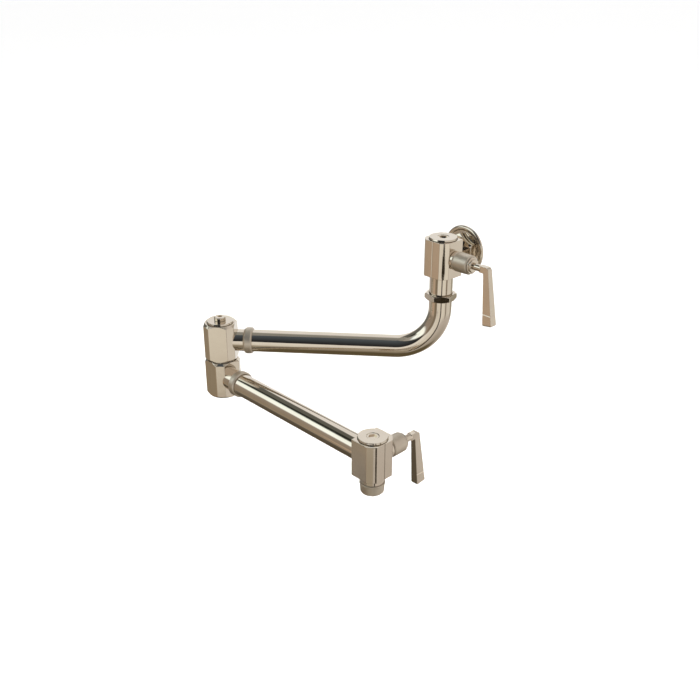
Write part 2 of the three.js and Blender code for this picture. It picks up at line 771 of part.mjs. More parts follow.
// The knurled sleeve that hides the joint of a tube and a knuckle neck; +X points up the tube.
function armCollar() {
  const from = knuckleNeckLength + seatGap;
  const to = from + armCollarLength;
  const outer = armCollarDiameter / 2;
  const onTube = tubeDiameter / 2 + seatGap;
  const onNeck = knuckleNeck / 2 + seatGap;
  return alongX(turned([
    [onNeck, from],
    [outer - armCollarCone, from],
    [outer, from + armCollarCone],
    [outer, to - armCollarBevel],
    [outer - armCollarBevel, to],
    [onTube, to],
    [onTube, tubeEnd - seatGap],
    [onNeck, tubeEnd - seatGap],
  ]));
}

// ---------------------------------------------------------------- knuckle
// A square block with chamfered corners, its ends turned to a cone, and a neck along +X that
// goes into the arm tube.
function knuckleBlank() {
  const half = knuckleWidth / 2;
  const crease = half - knuckleCorner;
  const outline = new THREE.Shape();
  outline.moveTo(half, crease);
  for (let i = 0; i < 4; i += 1) {
    const turn = (i * Math.PI) / 2;
    for (const [x, y] of [[crease, half], [-crease, half]]) {
      const c = Math.cos(turn);
      const s = Math.sin(turn);
      outline.lineTo(x * c - y * s, x * s + y * c);
    }
  }
  outline.closePath();
  const tall = knuckleHeight / 2;
  const corner = half + knuckleCorner;
  const fall = corner - knuckleEndRadius;
  const ends = turned([
    [0, -tall],
    [knuckleEndRadius, -tall],
    [corner, -tall + fall],
    [corner, tall - fall],
    [knuckleEndRadius, tall],
    [0, tall],
  ]);
  const neck = alongX(turned([
    [0, 0],
    [knuckleNeck / 2, 0],
    [knuckleNeck / 2, tubeEnd - seatGap],
    [tubeBore / 2 - seatGap, tubeEnd - seatGap],
    [tubeBore / 2 - seatGap, tubeEnd + neckInsert],
    [0, tubeEnd + neckInsert],
  ]));
  return join(common(prism(outline, -tall, tall), ends), neck);
}

const neckBore = alongX(rod(neckWater, 0, tubeEnd + neckInsert + 1));
const counterboreFloor = knuckleHeight / 2 - counterboreDepth; // above the upper arm's axis
const knuckleCapTop = knuckleHeight / 2 + runningGap + capThickness;

function knuckleCap() {
  const cap = capBlank(knuckleCapTop, [[0, knuckleCapTop]]);
  return cut(cap, rod(knuckleScrewShank + 2 * seatGap, 0, knuckleCapTop + 1, hiddenSides));
}

function knuckleScrew() {
  const seat = knuckleCapTop + seatGap;
  const top = seat + knuckleScrewHeight;
  const head = knuckleScrewHead / 2;
  const foot = counterboreFloor + spindleThreadLength + runningGap;
  const screw = turned([
    [0, foot],
    [knuckleScrewShank / 2, foot],
    [knuckleScrewShank / 2, seat],
    [head, seat],
    [head, top - capBevel],
    [head - capBevel, top],
    [0, top],
  ], smallSides);
  return cut(screw, prism(hexagon(knuckleScrewKey), top - knuckleScrewHeight / 2, top + 1));
}

function upperKnuckle() {
  const tall = knuckleHeight / 2;
  const block = cut(
    knuckleBlank(),
    rod(knuckleBore, -tall - 1, counterboreFloor + 1),
    rod(knuckleCounterbore, counterboreFloor, tall + 1),
    neckBore,
  );
  return block.rotateZ(Math.PI);
}

function lowerKnuckle() {
  const tall = knuckleHeight / 2;
  return cut(knuckleBlank(), rod(knuckleBore, -knuckleFloor, tall + 1), neckBore);
}

// The hollow spindle, from the neck bore of the lower block to the nut on top of the upper one.
// Heights are above the lower arm.
const spindleGrooveStep = 4.8;
const firstSpindleGroove = armStep - knuckleHeight / 2 + 2 * grooveHalfWidth + spindleGrooveStep / 2;
const spindleGrooves = [firstSpindleGroove, firstSpindleGroove + spindleGrooveStep];

function knuckleSpindle() {
  const outer = spindleOuter / 2;
  const groove = outer - oRingSection;
  const inner = spindleBore / 2;
  const thread = spindleThread / 2;
  const profile = [[inner, spindleFoot], [outer, spindleFoot]];
  for (const height of spindleGrooves) {
    profile.push([outer, height - grooveHalfWidth], [groove, height - grooveHalfWidth]);
    profile.push([groove, height + grooveHalfWidth], [outer, height + grooveHalfWidth]);
  }
  const shoulder = armStep + counterboreFloor - seatGap;
  const tip = armStep + counterboreFloor + spindleThreadLength;
  const roof = armStep + spindleWindow / 2 + 1;
  profile.push([outer, shoulder], [thread, shoulder], [thread, tip], [0, tip]);
  profile.push([0, roof], [inner, roof]);
  const across = rod(spindleWindow, -outer - 1, outer + 1, hiddenSides);
  const windows = [0, Math.PI / 2].map((turn) =>
    alongX(across.clone()).rotateZ(turn).translate(0, 0, armStep));
  return cut(turned(profile, hiddenSides), ...windows);
}

// ---------------------------------------------------------------- arms
function addUpperArm(group) {
  add(group, "upper_arm_tube", upperTube(), polishedNickel);

  const spigotTop = -stubFunnel - spigotRoom;
  const spigotBore = tubeBore - 2 * spigotWall;
  const grooves = [spigotTop - spigotGrooveStep / 2 - grooveHalfWidth];
  grooves.push(grooves[0] - spigotGrooveStep);
  const outer = swivelBore / 2 - runningGap;
  const groove = outer - oRingSection;
  const flange = tubeTop - seatGap;
  const profile = [[spigotBore / 2, spigotTop], [outer, spigotTop]];
  for (const height of grooves) {
    profile.push([outer, height + grooveHalfWidth], [groove, height + grooveHalfWidth]);
    profile.push([groove, height - grooveHalfWidth], [outer, height - grooveHalfWidth]);
  }
  profile.push([outer, flange], [tubeBore / 2 - seatGap, flange]);
  profile.push([tubeBore / 2 - seatGap, flange - spigotInsert]);
  profile.push([spigotBore / 2, flange - spigotInsert]);
  add(group, "swivel_spigot", turned(profile, hiddenSides), brass);
  grooves.forEach((height, i) => {
    add(group, `swivel_o_ring_${i + 1}`, rubberRing(2 * groove, height), rubber);
  });
  const keeperBottom = keeperTop - keeperThickness;
  const keeper = ring(keeperDiameter, retainerGroove + 2 * seatGap, keeperBottom, keeperTop);
  const split = block(0, keeperDiameter, -1, 1, keeperBottom - 1, keeperTop + 1);
  add(group, "swivel_retaining_ring", cut(keeper, split), steel);

  const knuckle = new THREE.Group();
  knuckle.position.set(armReach, 0, -armDrop);
  group.add(knuckle);
  add(knuckle, "upper_knuckle_block", upperKnuckle(), polishedNickel);
  add(knuckle, "upper_arm_collar", armCollar().rotateZ(Math.PI), knurledNickel);
  add(knuckle, "knuckle_cap", knuckleCap(), polishedNickel);
  add(knuckle, "knuckle_screw", knuckleScrew(), polishedNickel);
}

function addLowerArm(group) {
  const tall = knuckleHeight / 2;
  add(group, "lower_knuckle_block", lowerKnuckle(), polishedNickel);
  add(group, "lower_arm_collar", armCollar(), knurledNickel);
  add(group, "knuckle_spindle", knuckleSpindle(), brass);
  spindleGrooves.forEach((height, i) => {
    add(group, `spindle_o_ring_${i + 1}`, rubberRing(spindleOuter - 2 * oRingSection, height), rubber);
  });
  const upperBottom = armStep - tall;
  const washer = ring(knuckleWasher, knuckleBore, tall + seatGap, upperBottom - runningGap);
  add(group, "knuckle_washer", washer, plastic);
  const onThread = spindleThread + threadEase;
  const washerFrom = armStep + counterboreFloor + seatGap;
  const washerTo = washerFrom + spindleWasher;
  const underNut = knuckleCounterbore - threadEase;
  const spindleRing = ring(underNut, onThread, washerFrom, washerTo, hiddenSides);
  add(group, "spindle_washer", spindleRing, steel);
  const nutFrom = washerTo + seatGap;
  const nutTo = nutFrom + spindleNutThickness;
  const nutBore = rod(onThread, nutFrom - 1, nutTo + 1, hiddenSides);
  add(group, "spindle_nut", cut(nutBlank(spindleNutFlats, nutFrom, nutTo, 0), nutBore), brass);

  const plugEnd = armReach - bodyBack - runningGap;
  const tubeTo = plugEnd - plugRim;
  const tube = ring(tubeDiameter, tubeBore, tubeEnd, tubeTo);
  add(group, "lower_arm_tube", alongX(tube), polishedNickel);
  const plug = turned([
    [plugBore / 2, tubeTo - plugInsert],
    [tubeBore / 2 - seatGap, tubeTo - plugInsert],
    [tubeBore / 2 - seatGap, tubeTo + seatGap],
    [tubeDiameter / 2, tubeTo + seatGap],
    [tubeDiameter / 2, plugEnd],
    [inletBore / 2 - seatGap, plugEnd],
    [inletBore / 2 - seatGap, plugEnd + plugDepth],
    [plugBore / 2, plugEnd + plugDepth],
  ], hiddenSides);
  add(group, "lower_arm_end_plug", alongX(plug), polishedNickel);
}

// ---------------------------------------------------------------- spout
function addSpout(group) {
  const under = -bodyHeight / 2;
  const portTop = under + bodyPortDepth - runningGap;
  const onThread = spoutThread / 2;
  const threadEnd = -aeratorTop - spoutThreadLength;
  const nipple = turned([
    [portBore / 2, portTop],
    [bodyPort / 2 - seatGap, portTop],
    [bodyPort / 2 - seatGap, under - seatGap],
    [spoutNeckDiameter / 2, under - seatGap],
    [spoutNeckDiameter / 2, -aeratorTop + seatGap],
    [onThread, -aeratorTop + seatGap],
    [onThread, threadEnd],
    [spoutBore / 2, threadEnd],
    [spoutBore / 2, under - 1],
    [portBore / 2, under - 1],
  ], hiddenSides);
  add(group, "spout_nipple", nipple, polishedNickel);

  const washerTop = threadEnd - seatGap;
  const washerBottom = washerTop - aeratorWasher;
  const washer = ring(insertFlange, spoutBore, washerBottom, washerTop, hiddenSides);
  add(group, "aerator_washer", washer, rubber);

  const bottom = -aeratorTop - aeratorLength;
  const insertTop = washerBottom - seatGap;
  const rimBottom = insertTop - insertRim;
  const insertBottom = bottom + insertSetBack;
  const insert = turned([
    [0, insertTop],
    [insertFlange / 2, insertTop],
    [insertFlange / 2, rimBottom],
    [insertBody / 2, rimBottom],
    [insertBody / 2, insertBottom],
    [0, insertBottom],
  ], hiddenSides);
  const jets = [rod(jetBore, insertBottom - 1, insertTop + 1, 6)];
  for (let i = 0; i < 6; i += 1) {
    jets.push(jets[0].clone().translate(jetRing, 0, 0).rotateZ((i * Math.PI) / 3));
  }
  add(group, "aerator_insert", cut(insert, ...jets), plastic);

  const lipTop = rimBottom - seatGap;
  const outer = aeratorDiameter / 2;
  const step = outer - aeratorTaper / 2;
  const housing = turned([
    [onThread + seatGap, -aeratorTop],
    [outer - aeratorBevel, -aeratorTop],
    [outer, -aeratorTop - aeratorBevel],
    [outer, -aeratorTop - aeratorBand],
    [outer - step / 2, -aeratorTop - aeratorBand - step / 2],
    [outer - step, bottom + aeratorEndBevel],
    [outer - step - aeratorEndBevel, bottom],
    [aeratorMouth / 2, bottom],
    [aeratorMouth / 2, lipTop],
    [onThread + seatGap, lipTop],
  ]);
  const slots = [];
  for (let i = 0; i < aeratorSlots / 2; i += 1) {
    const half = aeratorSlotWidth / 2;
    const slot = block(-outer, outer, -half, half, bottom - 1, bottom + aeratorSlotDepth);
    slots.push(slot.rotateZ((i * 2 * Math.PI) / aeratorSlots));
  }
  add(group, "aerator_housing", cut(housing, ...slots), knurledNickel);
}

// ---------------------------------------------------------------- assembly
const radians = THREE.MathUtils.degToRad;
const potFiller = new THREE.Group();

const wallValve = new THREE.Group();
wallValve.position.set(0, -wallToAxis, 0);
potFiller.add(wallValve);
addWallUnion(wallValve);
addValve(wallValve, "wall", true);
addSwivelStub(wallValve);

// Turns about the wall valve's upright axis; +X runs out to the knuckle.
const upperArm = new THREE.Group();
upperArm.position.set(0, -wallToAxis, 0);
upperArm.rotation.z = radians(upperArmYaw);
potFiller.add(upperArm);
addUpperArm(upperArm);

// Turns about the knuckle spindle; +X runs out to the spout valve.
const lowerArm = new THREE.Group();
lowerArm.position.set(armReach, 0, -armDrop - armStep);
lowerArm.rotation.z = radians(180 - foldAngle);
upperArm.add(lowerArm);
addLowerArm(lowerArm);

// The spout valve's inlet faces back along the arm.
const spoutValve = new THREE.Group();
spoutValve.position.set(armReach, 0, 0);
spoutValve.rotation.z = radians(90);
lowerArm.add(spoutValve);
addValve(spoutValve, "spout", false);
addSpout(spoutValve);

export default potFiller;
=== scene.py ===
import json
import math

import bmesh
import bpy
import numpy as np
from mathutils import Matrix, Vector


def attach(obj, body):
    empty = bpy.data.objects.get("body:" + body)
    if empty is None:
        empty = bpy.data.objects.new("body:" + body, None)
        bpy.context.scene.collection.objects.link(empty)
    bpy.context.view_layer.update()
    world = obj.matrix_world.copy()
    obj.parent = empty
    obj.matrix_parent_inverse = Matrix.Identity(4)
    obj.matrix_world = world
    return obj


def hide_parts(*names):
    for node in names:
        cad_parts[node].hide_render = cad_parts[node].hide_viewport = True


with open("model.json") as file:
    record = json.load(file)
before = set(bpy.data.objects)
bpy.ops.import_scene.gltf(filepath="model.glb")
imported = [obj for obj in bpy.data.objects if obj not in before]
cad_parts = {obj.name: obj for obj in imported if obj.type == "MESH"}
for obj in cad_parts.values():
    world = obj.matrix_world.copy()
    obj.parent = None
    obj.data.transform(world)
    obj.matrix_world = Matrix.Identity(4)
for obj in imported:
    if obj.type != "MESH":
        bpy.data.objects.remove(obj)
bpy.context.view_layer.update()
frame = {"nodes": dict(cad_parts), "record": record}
print("frame loaded:", len(frame["nodes"]), "nodes")

# Lengths are in millimetres, as on a drawing of the part, and become metres where a mesh is made.
arms = {
    "wallToAxis": 36.0, "reach": 246.6, "drop": 107.0, "step": 45.0, "upperYaw": -138.6,
    "tube": 25.4, "bore": 22.4, "bend": 48.0, "neckLength": 27.2, "neckLap": 5.0,
}
gap = {"running": 0.3, "seat": 0.25}
edges = {"small": 0.2, "plain": 0.25, "wide": 0.3}  # how far the corners of profiles are rounded
around = 96  # points round a turned piece
outlineStep = 1.0  # longest side in the outline of a nut or a block

# where each moving group stands at rest: its angle about Z and its origin
heading = math.radians(arms["upperYaw"])
kneeX = arms["reach"] * math.cos(heading)
kneeY = arms["reach"] * math.sin(heading) - arms["wallToAxis"]
lowerZ = -arms["drop"] - arms["step"]
places = {
    "wall": (0, (0, -arms["wallToAxis"], 0)),
    "upper": (arms["upperYaw"], (0, -arms["wallToAxis"], 0)),
    "upperKnuckle": (arms["upperYaw"] + 180, (kneeX, kneeY, -arms["drop"])),
    "lower": (0, (kneeX, kneeY, lowerZ)),
    "spout": (90, (kneeX + arms["reach"], kneeY, lowerZ)),
}


def placed(points, place):
    # turned about Z by the place's angle, then shifted
    yaw, shift = place
    c, s = math.cos(math.radians(yaw)), math.sin(math.radians(yaw))
    return points @ np.array([[c, s, 0], [-s, c, 0], [0, 0, 1]]) + np.array(shift)


def softened(points, radius, steps=7, closed=True):
    # Every corner of the line becomes a parabola that starts and ends one radius before and
    # after it, or at 0.45 of the shorter side next to it where that is less.
    points = np.asarray(points, float)
    before = np.roll(points, 1, 0) - points
    after = np.roll(points, -1, 0) - points
    lengthBefore = np.maximum(np.linalg.norm(before, axis=-1, keepdims=True), 1e-9)
    lengthAfter = np.maximum(np.linalg.norm(after, axis=-1, keepdims=True), 1e-9)
    wanted = np.asarray(radius, float)
    if wanted.ndim:
        wanted = wanted.reshape((-1,) + (1,) * (points.ndim - 1))
    back = np.minimum(wanted, 0.45 * np.minimum(lengthBefore, lengthAfter))
    start = (points + before / lengthBefore * back)[:, None]
    end = (points + after / lengthAfter * back)[:, None]
    t = np.linspace(0, 1, steps).reshape((1, -1) + (1,) * (points.ndim - 1))
    curve = (1 - t) ** 2 * start + 2 * t * (1 - t) * points[:, None] + t**2 * end
    if not closed:
        curve[0], curve[-1] = points[0], points[-1]
    return curve.reshape((-1,) + points.shape[1:])


def filledProfile(points, spacing):
    # points are added along each side so that none is longer than the spacing
    points = np.asarray(points, float)
    pieces = []
    for a, b in zip(points, np.roll(points, -1, 0)):
        parts = max(1, math.ceil(np.linalg.norm(b - a) / spacing))
        pieces.append(a + (b - a) * (np.arange(parts) / parts)[:, None])
    return np.concatenate(pieces)


def gridMesh(name, points, loopRows=True):
    # Rows x columns of points in millimetres, where the columns run round; each cell is a quad.
    # Rows that meet on an axis are welded to one point, and the normals then turned outwards.
    rows, columns = points.shape[:2]
    row, column = np.meshgrid(np.arange(rows if loopRows else rows - 1), np.arange(columns),
                              indexing="ij")
    nextRow, nextColumn = (row + 1) % rows, (column + 1) % columns
    corners = [(row, column), (row, nextColumn), (nextRow, nextColumn), (nextRow, column)]
    quads = np.stack([r * columns + c for r, c in corners], -1).reshape(-1, 4)
    mesh = bpy.data.meshes.new(name)
    mesh.vertices.add(rows * columns)
    mesh.vertices.foreach_set("co", (points / 1000).astype(np.float32).ravel())
    mesh.loops.add(quads.size)
    mesh.loops.foreach_set("vertex_index", quads.astype(np.int32).ravel())
    mesh.polygons.add(len(quads))
    mesh.polygons.foreach_set("loop_start", np.arange(0, quads.size, 4, dtype=np.int32))
    mesh.polygons.foreach_set("loop_total", np.full(len(quads), 4, np.int32))
    mesh.update(calc_edges=True)
    welded = bmesh.new()
    welded.from_mesh(mesh)
    bmesh.ops.remove_doubles(welded, verts=welded.verts, dist=2e-7)  # metres
    bmesh.ops.recalc_face_normals(welded, faces=welded.faces)
    welded.to_mesh(mesh)
    welded.free()
    return mesh


axes = {"x": [2, 0, 1], "y": [1, 2, 0], "z": [0, 1, 2]}


def stood(points, axis):
    # a shape made upright lies along X or Y instead
    return points[..., axes[axis]]


def turned(profile, sides=around, ease=None, axis="z"):
    # A profile of radius and height carried round the axis: x = r cos t, y = r sin t, z = h.
    t = np.arange(sides) / sides * 2 * math.pi
    radius, height = profile[:, 0:1], profile[:, 1:2]
    if ease is not None:
        radius = radius + ease(radius, height, t[None, :])
    height = np.broadcast_to(height, (len(profile), sides))
    return stood(np.stack([radius * np.cos(t), radius * np.sin(t), height], -1), axis)


def conedPrism(outline, bore, bottom, top, endRadius, slope, edge):
    # An upright prism over the outline. Both ends are turned to a cone that falls by slope for
    # each millimetre beyond endRadius, so a side ends lower at the outline's far corners.
    rim = 0.4  # the flat end stops at least this far inside the outline
    reach = np.linalg.norm(outline, axis=1)
    flat = np.minimum(reach - rim, endRadius)
    fall = np.maximum(reach - endRadius, 0) * slope
    inner = np.full_like(reach, bore)
    rows = [(inner, bottom), (flat, bottom), (reach, bottom + fall),
            (reach, top - fall), (flat, top), (inner, top)]
    section = np.stack([np.stack([r, np.broadcast_to(z, r.shape)], -1) for r, z in rows])
    section = softened(section, edge, steps=5, closed=bore > 0)
    unit = outline / reach[:, None]
    return np.concatenate([section[..., :1] * unit, section[..., 1:]], -1)


def carried(path, tangents, side, radius, columns):
    # A circle carried along a path that stays in one plane: centre + r (cos t side + sin t up).
    t = np.arange(columns) / columns * 2 * math.pi
    up = np.cross(tangents, side)
    circle = np.cos(t)[None, :, None] * side + np.sin(t)[None, :, None] * up[:, None]
    return path[:, None] + radius * circle


def hexReach(acrossFlats, t):
    # distance from the centre to a hexagon's side, in each direction
    sixth = math.pi / 3
    return acrossFlats / 2 / np.cos((t + sixth / 2) % sixth - sixth / 2)


def hexSocket(acrossFlats, rows):
    # Each row is a share s and a height: x = s r cos t, y = s r sin t, where r is the reach of
    # the hexagon in that direction.
    t = np.arange(around) / around * 2 * math.pi
    share, height = np.array(rows, float).T[..., None]
    radius = share * hexReach(acrossFlats, t)
    height = np.broadcast_to(height, radius.shape)
    return np.stack([radius * np.cos(t), radius * np.sin(t), height], -1)


def joined(name, meshes):
    # exact boolean union of the first mesh with each of the others
    base = bpy.data.objects.new(name, meshes[0])
    bpy.context.scene.collection.objects.link(base)
    tools = []
    for mesh in meshes[1:]:
        tool = bpy.data.objects.new("tool", mesh)
        bpy.context.scene.collection.objects.link(tool)
        modifier = base.modifiers.new("join", "BOOLEAN")
        modifier.operation, modifier.object, modifier.solver = "UNION", tool, "EXACT"
        tools.append(tool)
    ready = bpy.context.evaluated_depsgraph_get()
    made = bpy.data.meshes.new_from_object(base.evaluated_get(ready))
    for unused in [base] + tools:
        bpy.data.objects.remove(unused)
    made.name = name
    return made


def colour(code):
    # sRGB hex to linear
    value = np.array([int(code[i:i + 2], 16) for i in (1, 3, 5)]) / 255
    linear = np.where(value <= 0.04045, value / 12.92, ((value + 0.055) / 1.055) ** 2.4)
    return (*[float(v) for v in linear], 1.0)


def addNode(tree, kind, links=None, inputs=None, **settings):
    # one node with its settings, its fixed inputs and what feeds the others
    node = tree.nodes.new(kind)
    for key, value in settings.items():
        setattr(node, key, value)
    for key, value in (inputs or {}).items():
        node.inputs[key].default_value = value
    for key, source in (links or {}).items():
        tree.links.new(source, node.inputs[key])
    return node


def startMaterial(name):
    # an empty material and the place on the piece that its patterns read
    material = bpy.data.materials.new(name)
    material.use_nodes = True
    tree = material.node_tree
    tree.nodes.clear()
    return material, tree, addNode(tree, "ShaderNodeTexCoord").outputs["Object"]


def closeMaterial(tree, inputs, links):
    shader = addNode(tree, "ShaderNodeBsdfPrincipled", inputs=inputs, links=links)
    addNode(tree, "ShaderNodeOutputMaterial", links={"Surface": shader.outputs[0]})


# Drift is the size of the slow change of tone over a plate, and range is the stretch of the
# noise that it uses. The reliefs are the heights of the surface waves in metres.
texture = {"drift": 25.0, "range": {"From Min": 0.3, "From Max": 0.7},
           "plateRelief": 0.001, "bodyRelief": 0.0005}


def metalPlate(name, light, dark, roughLow, roughHigh, grain, bump):
    # Colour and roughness drift slowly between two near values, and a faint wave of `grain`
    # millimetres keeps the reflections from being ruler straight.
    material, tree, place = startMaterial(name)
    drift = addNode(tree, "ShaderNodeTexNoise", {"Vector": place},
                    {"Scale": 1000.0 / texture["drift"], "Detail": 2.0})
    tone = addNode(tree, "ShaderNodeMapRange", {"Value": drift.outputs["Fac"]}, texture["range"])
    mix = addNode(tree, "ShaderNodeMix", {"Factor": tone.outputs[0]},
                  {6: colour(dark), 7: colour(light)}, data_type="RGBA")
    rough = addNode(tree, "ShaderNodeMapRange", {"Value": drift.outputs["Fac"]},
                    {**texture["range"], "To Min": roughLow, "To Max": roughHigh})
    wave = addNode(tree, "ShaderNodeTexNoise", {"Vector": place},
                   {"Scale": 1000.0 / grain, "Detail": 1.0})
    relief = addNode(tree, "ShaderNodeBump", {"Height": wave.outputs["Fac"]},
                     {"Strength": bump, "Distance": texture["plateRelief"]})
    closeMaterial(tree, {"Metallic": 1.0}, {
        "Base Color": mix.outputs[2],
        "Roughness": rough.outputs[0],
        "Normal": relief.outputs[0],
    })
    return material


def plainBody(name, light, dark, rough, grain, bump, ior=1.5):
    # a solid colour with a slight mottle, for rubber, ceramic and moulded plastic
    material, tree, place = startMaterial(name)
    mottle = addNode(tree, "ShaderNodeTexNoise", {"Vector": place},
                     {"Scale": 1000.0 / grain, "Detail": 3.0})
    mix = addNode(tree, "ShaderNodeMix", {"Factor": mottle.outputs["Fac"]},
                  {6: colour(dark), 7: colour(light)}, data_type="RGBA")
    relief = addNode(tree, "ShaderNodeBump", {"Height": mottle.outputs["Fac"]},
                     {"Strength": bump, "Distance": texture["bodyRelief"]})
    closeMaterial(tree, {"Roughness": rough, "IOR": ior}, {
        "Base Color": mix.outputs[2],
        "Normal": relief.outputs[0],
    })
    return material


finishes = {
    # Polished nickel plate: a warm, mirror-like metal whose white is slightly yellow.
    "polished_nickel": metalPlate("polishedNickelPlate", "#dad0c1", "#d5cabb",
                                  0.05, 0.09, 9.0, 0.02),
    # Nickel plate over a fine rolled knurl: the ridges break the reflection into a soft grey tan.
    "knurled_nickel": metalPlate("knurledNickelPlate", "#dbd1c2", "#ccc1b2",
                                 0.4, 0.48, 1.2, 0.08),
    # Machined brass, left bare inside: yellow, with the soft gloss of a turned surface.
    "brass": metalPlate("machinedBrass", "#c9a45c", "#b08d4f", 0.28, 0.4, 0.8, 0.1),
    # Spring steel with a rolled surface: a plain neutral grey.
    "spring_steel": metalPlate("rolledSpringSteel", "#a8a8a6", "#93938f", 0.3, 0.4, 0.6, 0.1),
    # Lapped alumina ceramic: a cream white with a gentle gloss.
    "ceramic": plainBody("lappedAlumina", "#efebe2", "#e4dfd4", 0.25, 1.5, 0.02, ior=1.7),
    # Nitrile rubber from a mould: a dull black.
    "rubber": plainBody("mouldedNitrile", "#2a2a2a", "#1e1e1e", 0.7, 0.8, 0.1),
    # Acetal from a mould: an off-white with a satin skin.
    "white_plastic": plainBody("mouldedAcetal", "#e0e0da", "#d2d2cc", 0.45, 1.2, 0.05),
}
sharpAngle = math.radians(28)
replaced = set()


def show(name, mesh, node, owner, finish="polished_nickel"):
    # the finished piece: smooth, with its sharp edges kept, riding on its body
    piece = bpy.data.objects.new(name, mesh)
    bpy.context.scene.collection.objects.link(piece)
    mesh.shade_smooth()
    mesh.set_sharp_from_angle(angle=sharpAngle)
    even = piece.modifiers.new("even", "WEIGHTED_NORMAL")
    even.keep_sharp = True
    mesh.materials.clear()
    mesh.materials.append(finishes[finish])
    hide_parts(node)
    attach(piece, owner)
    replaced.add(node)


def showTurned(name, profile, edge, place, node, owner, axis="z", sides=around):
    # a turned piece with a bore: its profile closes on itself
    points = turned(softened(profile, edge), sides, axis=axis)
    show(name, gridMesh(name, placed(points, place)), node, owner)


# The pitch is as coarse as it needs to be to show, and leastRadius is a share of the diameter.
knurl = {"pitch": 1.05, "depth": 0.16, "perRidge": 5, "rowsPerPitch": 3, "skin": 1.6,
         "leastRadius": 0.44, "margin": 0.2}


def knurling(start, end, diameter):
    # Two families of ridges that cross: the radius falls with the distance from the nearest
    # ridge of either, and only between the two heights.
    count = round(math.pi * diameter / knurl["pitch"])
    perHeight = count / diameter * 2

    def ease(radius, height, t):
        rising = np.abs(((t * count + perHeight * height) / (2 * math.pi)) % 1 - 0.5) * 2
        falling = np.abs(((t * count - perHeight * height) / (2 * math.pi)) % 1 - 0.5) * 2
        depth = np.minimum(rising, falling) * knurl["depth"]
        outside = radius > diameter * knurl["leastRadius"]
        return -np.where((height > start) & (height < end) & outside, depth, 0.0)

    return ease, count * knurl["perRidge"]


def showKnurled(name, profile, edge, band, diameter, place, node, owner, axis="z", cut=None):
    # A turned piece with a knurled band. Only the outer skin gets rows dense enough for the
    # ridges.
    line = softened(profile, edge, steps=4)
    rows = filledProfile(line, knurl["pitch"] / knurl["rowsPerPitch"])
    onSkin = rows[:, 0] > line[:, 0].max() - knurl["skin"]
    rows = rows[onSkin | np.isin(rows[:, 1], line[:, 1])]
    start, end = band[0] + knurl["margin"], band[1] - knurl["margin"]
    ease, sides = knurling(start, end, diameter)
    points = turned(rows, sides, ease)
    if cut is not None:
        points = cut(points)
    mesh = gridMesh(name, placed(stood(points, axis), place))
    show(name, mesh, node, owner, "knurled_nickel")


valve = {
    "height": 40.4, "halfWidth": 17.4, "front": 16.8, "cornerRadius": 19.5, "back": 12.0,
    "bevel": 0.4, "grooveWidth": 1.2, "grooveDepth": 0.5, "edge": 0.45, "arcPoints": 14,
    "arcEdge": 0.05, "creaseEdge": 0.5, "grooveEdge": 0.25,
}
# the round neck at the back of the wall valve, with a lip for the union nut
inlet = {"start": 5.0, "diameter": 24.0, "lip": 29.0, "lipStart": 27.5, "end": 29.5}
cap = {
    "diameter": 31.0, "thickness": 1.8, "lean": 0.66, "boss": 20.4, "bossLength": 5.0,
    "bore": 8.5, "dish": 13.0, "dishDepth": 0.6, "floorRadii": [5.2, 4.9], "socket": 8.0,
    "socketDepth": 3.4, "socketEdge": 0.3, "tipDepth": 1.8,
}


def bodyOutline():
    # Seen from above: square at the back, the two front corners turned about the axis, and a
    # V groove down the middle of the front.
    v = valve
    sideCrease = math.sqrt(v["cornerRadius"] ** 2 - v["halfWidth"] ** 2)
    frontCrease = math.sqrt(v["cornerRadius"] ** 2 - v["front"] ** 2)
    start = math.atan2(-v["front"], frontCrease)
    end = math.atan2(-sideCrease, v["halfWidth"])
    t = np.linspace(start, end, v["arcPoints"])
    right = v["cornerRadius"] * np.stack([np.cos(t), np.sin(t)], -1)
    left = (right * [-1, 1])[::-1]
    groove = [[-v["grooveWidth"] / 2, -v["front"]], [0, v["grooveDepth"] - v["front"]],
              [v["grooveWidth"] / 2, -v["front"]]]
    back = [[v["halfWidth"], v["back"]], [-v["halfWidth"], v["back"]]]
    corners = np.concatenate([left, groove, right, back])
    arc = [v["creaseEdge"]] + [v["arcEdge"]] * (v["arcPoints"] - 2) + [v["creaseEdge"]]
    soft = arc + [v["grooveEdge"]] * len(groove) + arc + [v["edge"]] * len(back)
    return softened(corners, soft, steps=5)


def insetLine(outline, distance):
    # moved inwards along the normal of the closed line, which runs anticlockwise
    along = np.roll(outline, -1, 0) - np.roll(outline, 1, 0)
    along /= np.maximum(np.linalg.norm(along, axis=1, keepdims=True), 1e-9)
    inward = np.stack([-along[:, 1], along[:, 0]], -1)
    return outline + inward * distance


def valveBodyPoints():
    # The outline at each level. At the top it is drawn in along a quarter circle and closed over
    # the middle, and the bottom is the top mirrored.
    outline = bodyOutline()
    half, bevel = valve["height"] / 2, valve["bevel"]
    t = np.linspace(0, math.pi / 2, 6)
    steps = [(bevel * (1 - math.sin(a)), half - bevel * (1 - math.cos(a))) for a in t]
    rows = [np.column_stack([insetLine(outline, i), np.full(len(outline), z)]) for i, z in steps]
    inner = np.column_stack([insetLine(outline, bevel) * 0.9, np.full(len(outline), half)])
    centre = np.column_stack([outline * 0, np.full(len(outline), half)])
    top = [centre, inner] + rows
    bottom = [r * [1, 1, -1] for r in top[::-1]]
    return np.stack(top + bottom)


